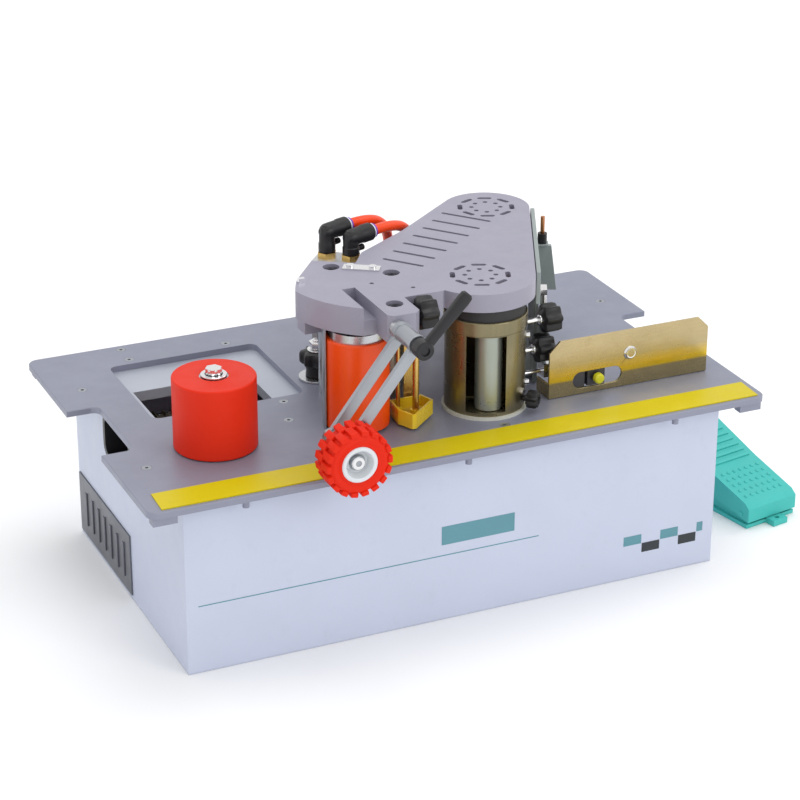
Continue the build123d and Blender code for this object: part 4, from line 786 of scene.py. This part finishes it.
class BANDING_OT_table(bpy.types.Operator):
    """Add the pieces seen in the table's window"""

    bl_idname = "banding.table"
    bl_label = "Table"

    STRIP_FRONTS = (86, 106)
    STRIP_DEEP = 16
    TERMINALS, TERMINAL_START, TERMINAL_PITCH = 12, -221, 9.4

    def execute(self, context):
        self.block("terminal_tray", (-228, 78, 113), (-110, 134, 115), 0.4, "motor")
        self.strips()
        self.block("terminal_bar", (-226, 66, 136.2), (-180, 76, 140), 0.8, "cream")
        self.block("terminal_cap", (-184, 78, 127), (-172, 90, 138), 1.5, "hose")
        return {"FINISHED"}

    def block(self, name, lower, upper, edge, material):
        """One rounded block between two corners in mm."""
        bm = bmesh.new()
        slab(bm, mm(*lower), mm(*upper), edge * MM)
        piece(name, to_mesh(bm, name), "electrics", material)

    def strips(self):
        """Two rows of terminals, with the ribs between them and their screws."""
        strips, screws = bmesh.new(), bmesh.new()
        for y in self.STRIP_FRONTS:
            slab(strips, mm(-226, y, 115), mm(-112, y + self.STRIP_DEEP, 126), 0.8 * MM)
            for index in range(self.TERMINALS):
                x = self.TERMINAL_START + index * self.TERMINAL_PITCH
                rib = mm(x - 4.4, y + 1, 125), mm(x - 3.4, y + self.STRIP_DEEP - 1, 129)
                slab(strips, *rib, 0.3 * MM)
                spot = mm(x, y + self.STRIP_DEEP / 2, 125)
                drum(screws, 2.5 * MM, 3 * MM, place(spot, UP), 0.5 * MM, 16)
        piece("terminal_strips", to_mesh(strips, "terminal_strips"), "electrics", "beige")
        piece("terminal_screws", to_mesh(screws, "terminal_screws"), "electrics", "bright")


class BANDING_OT_head(bpy.types.Operator):
    """Round the head's cast edges and the cover parts around it"""

    bl_idname = "banding.head"
    bl_label = "Head"

    def execute(self, context):
        softened("head_casting", "head", context.scene.bander_sizes.edge, segments=3)
        for node, material, edge in (
            ("side_wall", "wall", 0.6), ("side_bracket", "wall", 0.6),
            ("cutter_cylinder", "cylinder", 0.8), ("gauge_seat", "steel", 0.5),
            ("press_arm", "bar", 0.5),
        ):
            softened(node, material, edge * MM)
        return {"FINISHED"}


class BANDING_OT_knobs(bpy.types.Operator):
    """Add the star knobs, their inserts and the clamping lever"""

    bl_idname = "banding.knobs"
    bl_label = "Knobs"

    SIDE_KNOB_THICK = 18 * MM
    GAUGE_RADIUS, GAUGE_THICK, GAUGE_NUT = 16.5 * MM, 14 * MM, 11 * MM
    GAP_KNOB_OUT = 42 * MM
    # Share of the lever's length, half width and half depth in mm.
    LEVER_STATIONS = (
        (0.05, 4.4, 3.9), (0.35, 4.3, 3.9), (0.62, 5.0, 4.4), (0.88, 5.6, 4.6), (0.97, 5.2, 4.2),
        (1.0, 3.6, 2.8),
    )

    def execute(self, context):
        lobes = context.scene.bander_sizes.knob_lobes
        for node, radius in (("upper_knob", 14), ("lower_knob", 14), ("arm_knob", 15.5)):
            self.side_knob(node, lobes, radius * MM, self.SIDE_KNOB_THICK)
        self.gauge_knob(lobes)
        self.gap_knob()
        self.lever()
        return {"FINISHED"}

    def side_knob(self, node, lobes, radius, thick):
        """Star knob on a stud that lies along the table, with its collar and insert."""
        lower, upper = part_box(node)
        centre = (lower + upper) / 2
        start = Vector((upper.x - thick, centre.y, centre.z))
        bm = bmesh.new()
        star(bm, place(start, ALONG), radius, thick, lobes)
        piece(node + "_moulding", to_mesh(bm, node), node, "black", (node,))
        bm = bmesh.new()
        rod_start = Vector((lower.x, centre.y, centre.z))
        insert = Vector((upper.x - 2.6 * MM, centre.y, centre.z))
        rod = start.x - lower.x + 1 * MM
        drum(bm, 2.5 * MM, rod, place(rod_start, ALONG), 0.4 * MM, 20)
        drum(bm, 4.6 * MM, 2.5 * MM, place(start - mm(2.2, 0, 0), ALONG), 0.4 * MM, 24)
        drum(bm, 3.6 * MM, 1.2 * MM, place(insert, ALONG), 0.3 * MM, 24)
        piece(node + "_stud", to_mesh(bm, node + "_stud"), node, "bright")

    def gauge_knob(self, lobes):
        """Star knob on a flared neck, with its stud, washer and nut."""
        lower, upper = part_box("gauge_knob")
        centre = (lower + upper) / 2

        def at(z):
            return place(Vector((centre.x, centre.y, z)), UP)

        seat = high("gauge_seat").z
        under = upper.z - self.GAUGE_NUT - self.GAUGE_THICK
        bm = bmesh.new()
        star(bm, at(under), self.GAUGE_RADIUS, self.GAUGE_THICK, lobes)
        tall = (under - seat) / MM + 2
        neck = profile((0, 0.2), (10, 0.2), (10.8, 1), (10.2, 6), (11, tall), (0, tall))
        lathe(bm, neck, at(seat), 40)
        mesh = to_mesh(bm, "gauge_knob_moulding")
        piece("gauge_knob_moulding", mesh, "gauge_knob", "black", ("gauge_knob",))
        bm = bmesh.new()
        drum(bm, 4 * MM, upper.z - lower.z, at(lower.z), 0.5 * MM, 24)
        drum(bm, 9 * MM, 1.4 * MM, at(upper.z - self.GAUGE_NUT + 0.2 * MM), 0.4 * MM, 36)
        drum(bm, 7.4 * MM, 6.2 * MM, at(upper.z - 8 * MM), 0.6 * MM, 6)
        piece("gauge_knob_stud", to_mesh(bm, "gauge_knob_stud"), "gauge_knob", "bright")

    def gap_knob(self):
        """Small star knob on the pot's lower screw, on its joint's axis."""
        joint = joint_named("gap_knob_turn")
        axis = Vector(joint["axis"])
        pot = middle("glue_pot")
        start = Vector((pot.x, pot.y, joint["pos_m"][2])) + axis * self.GAP_KNOB_OUT
        bm = bmesh.new()
        star(bm, place(start, axis), 8.5 * MM, 11 * MM, 9)
        drum(bm, 3 * MM, 4.6 * MM, place(start - axis * 4.5 * MM, axis), 0.4 * MM, 20)
        mesh = to_mesh(bm, "gap_knob_moulding")
        piece("gap_knob_moulding", mesh, "gap_knob", "black", ("gap_knob",))

    def lever(self):
        """Clamping lever: a dished hub and a square-shouldered arm that widens to its end."""
        lower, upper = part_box("clamp_lever")
        pivot = Vector(joint_named("clamp_lever_turn")["pos_m"])
        tip = Vector((upper.x - 3.4 * MM, pivot.y, upper.z - 3.6 * MM))
        bm = bmesh.new()
        deep = (upper.y - lower.y) / MM
        hub = profile(
            (0, 1.6), (4, 1.6), (4.2, 0), (7.4, 0), (8.5, 1.2), (8.5, deep - 1), (7.6, deep),
            (0, deep),
        )
        lathe(bm, hub, place(Vector((pivot.x, lower.y, pivot.z)), INWARD))
        turn = place(pivot - mm(0, 1, 0), (tip - pivot).normalized())
        rings = []
        for share, wide, thick in self.LEVER_STATIONS:
            ring = bmesh.ops.create_circle(bm, segments=24, radius=1.0)["verts"]
            for v in ring:
                angle = math.atan2(v.co.y, v.co.x)
                corner = (abs(math.cos(angle)) ** 4 + abs(math.sin(angle)) ** 4) ** -0.25
                v.co = Vector((math.cos(angle) * wide, math.sin(angle) * thick, 0)) * corner * MM
                v.co.z = share * (tip - pivot).length
            bmesh.ops.transform(bm, matrix=turn, verts=ring)
            rings.append(ring)
        skin_rings(bm, rings)
        mesh = to_mesh(bm, "clamp_lever_moulding")
        piece("clamp_lever_moulding", mesh, "clamp_lever", "black", ("clamp_lever",))


class BANDING_OT_press_wheel(bpy.types.Operator):
    """Add the press wheel's tyre, hub and axle bolt"""

    bl_idname = "banding.press_wheel"
    bl_label = "Press wheel"

    BORE = 16.4
    TREAD_DEEP = 3.2
    BLOCK_HALF = 3.3 * MM

    def execute(self, context):
        lower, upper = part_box("press_tyre")
        centre = (lower + upper) / 2
        front = Vector((centre.x, lower.y, centre.z))
        width = upper.y - lower.y
        radius = (upper.z - lower.z) / 2
        bm = bmesh.new()
        self.carcass(bm, front, width / MM, radius / MM - self.TREAD_DEEP)
        self.tread(bm, centre, width, radius, context.scene.bander_sizes.tread_blocks)
        mesh = to_mesh(bm, "press_tyre_rubber")
        piece("press_tyre_rubber", mesh, "press_tyre", "wheel", ("press_tyre",))
        self.hub(front, width / MM)
        return {"FINISHED"}

    def carcass(self, bm, front, width, body):
        """Tyre under its tread, with a lip round the bore. Sizes are in mm."""
        bore = self.BORE
        lathe(bm, profile(
            (bore, 1), (bore + 1.2, 0.2), (bore + 3, 1.4), (body - 4, 0.6), (body - 1, 1.6),
            (body, 3.4), (body, width - 3.4), (body - 1, width - 1.6), (body - 4, width - 0.6),
            (bore + 1.2, width - 0.2), (bore, width - 1), (bore, 1),
        ), place(front, INWARD), 72)

    def tread(self, bm, centre, width, radius, blocks):
        """Two rows of tread blocks, the second half a step round from the first."""
        inner, outer = radius - (self.TREAD_DEEP + 1.2) * MM, radius - 0.1 * MM
        half, lap, gap = width / 2, 0.5 * MM, 0.1 * MM
        for index in range(blocks):
            for shift, y0, y1 in ((0.0, -half, lap), (0.5, -lap, half)):
                angle = TAU * (index + shift) / blocks
                turn = Matrix.Translation(centre) @ Matrix.Rotation(angle, 4, "Y")
                near = (inner, y0 + gap, -self.BLOCK_HALF)
                far = (outer, y1 - gap, self.BLOCK_HALF)
                slab(bm, near, far, 0.8 * MM, turn)

    def hub(self, front, width):
        """White hub with a dished face, and the axle's bolt in it. The width is in mm."""
        bm = bmesh.new()
        outer = self.BORE
        lathe(bm, profile(
            (4.05, 9), (7, 9), (7.6, 8), (9.5, 8), (12, 3), (12.6, 0.6), (13.6, 0), (15.6, 0),
            (outer, 0.8), (outer, width - 0.8), (15.6, width), (4.05, width), (4.05, 9),
        ), place(front, INWARD), 56)
        mesh = to_mesh(bm, "press_hub_nylon")
        piece("press_hub_nylon", mesh, "press_hub", "white", ("press_hub",))
        bm = bmesh.new()
        lathe(bm, profile(
            (0, 2.6), (2.6, 2.6), (2.8, 0), (5.4, 0), (6.1, 0.7), (6.1, 4.6), (0, 4.6)
        ), place(front + mm(0, 3.2, 0), INWARD), 40)
        piece("press_axle_bolt", to_mesh(bm, "press_axle_bolt"), "press_arm", "bright")


class BANDING_OT_fence(bpy.types.Operator):
    """Add the fence's screw and the lock nut in its slot"""

    bl_idname = "banding.fence"
    bl_label = "Fence"

    SCREW_X, SCREW_Z = 195.5 * MM, 207 * MM

    def execute(self, context):
        softened("fence", "zinc", 0.35 * MM)
        self.screw()
        self.nut()
        return {"FINISHED"}

    def screw(self):
        """Flat screw head with a raised rim, just proud of the fence's face."""
        spot = Vector((self.SCREW_X, low("fence").y - 0.45 * MM, self.SCREW_Z))
        bm = bmesh.new()
        lathe(bm, profile(
            (0, 2.2), (2.4, 2.2), (2.6, 0.6), (4.6, 0.3), (5.6, 1.4), (6.6, 2.4), (6.6, 3), (0, 3)
        ), place(spot, INWARD), 40)
        piece("fence_screw", to_mesh(bm, "fence_screw"), "fence", "bright")

    def nut(self):
        """Domed lock nut in the fence's slot, with its stud."""
        lower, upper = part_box("fence_lock")
        centre = (lower + upper) / 2
        deep = (upper.y - lower.y) / MM
        bm = bmesh.new()
        lathe(bm, profile(
            (0, 0), (3.6, 0.2), (4.8, 1.2), (5, 2.4), (5, 5.5), (3, 5.6), (3, deep), (0, deep)
        ), place(Vector((centre.x, lower.y, centre.z)), INWARD), 40)
        mesh = to_mesh(bm, "fence_lock_nut")
        piece("fence_lock_nut", mesh, "fence_lock", "nut", ("fence_lock",))


class BANDING_OT_pedal(bpy.types.Operator):
    """Round the foot pedal's treadle and add its grip dots"""

    bl_idname = "banding.pedal"
    bl_label = "Foot pedal"

    # The treadle's top climbs from one (distance, height) to the other, in mm.
    LOW_END, HIGH_END = (4, 26), (58, 41)
    PIN_SETBACK = 9
    COLUMNS, COLUMN_PITCH = 7, 7.6
    FIRST_ROW, ROW_PITCH = 12, 8.6

    def execute(self, context):
        softened("pedal_plate", "pedal", 1.6 * MM, segments=3)
        softened("pedal_base", "pedal", 0.8 * MM)
        self.dots(context.scene.bander_sizes.pedal_dots)
        return {"FINISHED"}

    def dots(self, rows):
        """Grip dots in rows up the treadle, square to its slope."""
        joint = joint_named("pedal_press")
        across = -Vector(joint["axis"])
        along = Vector((-across.y, across.x, 0))
        pin = Vector(joint["pos_m"])
        (near, bottom), (far, top) = self.LOW_END, self.HIGH_END
        rise = (top - bottom) / (far - near)
        slope = math.atan(rise)
        normal = Vector((0, 0, math.cos(slope))) - along * math.sin(slope)
        bm = bmesh.new()
        for row in range(rows):
            out = self.FIRST_ROW + row * self.ROW_PITCH
            height = bottom + (out - near) * rise
            for column in range(self.COLUMNS):
                shift = (column - self.COLUMNS // 2) * self.COLUMN_PITCH
                spot = pin + (across * shift + along * (out - self.PIN_SETBACK)) * MM
                spot.z = (height - 0.4) * MM
                drum(bm, 2.1 * MM, 1.4 * MM, place(spot, normal), 0.5 * MM, 14, 1.6 * MM)
        piece("pedal_grip_dots", to_mesh(bm, "pedal_grip_dots"), "pedal_plate", "pedal")


class BANDING_OT_pot(bpy.types.Operator):
    """Add the pot's collar, the probe's capillary and the guide roller's bolt head"""

    bl_idname = "banding.pot"
    bl_label = "Pot, probe and bolt head"

    COLLAR_INNER, COLLAR_OUTER, COLLAR_DEEP = 37.02, 38.2, 13

    def execute(self, context):
        self.guide_bolt()
        self.capillary()
        self.collar()
        return {"FINISHED"}

    def guide_bolt(self):
        """Chamfered hex head on a wide washer, on top of the guide roller."""
        spot = middle("guide_bolt")
        spot.z = high("guide_roller").z
        bm = bmesh.new()
        washer = profile((0, 0), (11.4, 0), (11.8, 0.3), (11.8, 1.2), (11.4, 1.5), (0, 1.5))
        lathe(bm, washer, place(spot + mm(0, 0, 0.1), UP))
        drum(bm, 7.4 * MM, 5.3 * MM, place(spot + mm(0, 0, 1.6), UP), 0.7 * MM, 6)
        piece("guide_bolt_head", to_mesh(bm, "guide_bolt_head"), "guide_bolt", "bright")

    def collar(self):
        """Rolled collar under the pot's lid."""
        spot = middle("glue_pot")
        spot.z = low("pot_lid").z
        inner, outer, deep = self.COLLAR_INNER, self.COLLAR_OUTER, self.COLLAR_DEEP
        ring = profile(
            (inner, -deep), (outer - 0.3, -deep), (outer, 0.5 - deep), (outer, -0.8),
            (outer - 0.4, -0.2), (inner, -0.2), (inner, -deep),
        )
        bm = bmesh.new()
        lathe(bm, ring, place(spot, UP), 96)
        piece("pot_collar", to_mesh(bm, "pot_collar"), "glue_pot", "pot")

    def capillary(self):
        """Copper tube that stands out of the probe's gland."""
        spot = middle("heat_probe")
        spot.z = high("heat_probe").z - 17.9 * MM
        bm = bmesh.new()
        drum(bm, 2.1 * MM, 18 * MM, place(spot, UP), 0.4 * MM, 20)
        piece("probe_capillary", to_mesh(bm, "probe_capillary"), "heat_probe", "copper")


class BANDING_PT_panel(bpy.types.Panel):
    """Lists the builders and the colours"""

    bl_label = "Edge banding machine"
    bl_idname = "BANDING_PT_panel"
    bl_space_type = "VIEW_3D"
    bl_region_type = "UI"
    bl_category = "Edge Bander"

    def draw(self, context):
        for builder in BUILDERS:
            self.layout.operator(builder.bl_idname)
        for group in (context.scene.bander_colours, context.scene.bander_sizes):
            for name in group.bl_rna.properties.keys():
                if name not in {"rna_type", "name"}:
                    self.layout.prop(group, name)


BUILDERS = (
    BANDING_OT_finishes,
    BANDING_OT_stage,
    BANDING_OT_air_lines,
    BANDING_OT_cabinet,
    BANDING_OT_table,
    BANDING_OT_head,
    BANDING_OT_knobs,
    BANDING_OT_press_wheel,
    BANDING_OT_fence,
    BANDING_OT_pedal,
    BANDING_OT_pot,
)
CLASSES = (BanderColours, BanderSizes, *BUILDERS, BANDING_PT_panel)


def register():
    for cls in CLASSES:
        bpy.utils.register_class(cls)
    bpy.types.Scene.bander_colours = PointerProperty(type=BanderColours)
    bpy.types.Scene.bander_sizes = PointerProperty(type=BanderSizes)


def unregister():
    del bpy.types.Scene.bander_colours
    del bpy.types.Scene.bander_sizes
    for cls in reversed(CLASSES):
        bpy.utils.unregister_class(cls)


def main():
    register()
    for builder in BUILDERS:
        group, name = builder.bl_idname.split(".")
        getattr(getattr(bpy.ops, group), name)()


if __name__ == "__main__":
    main()
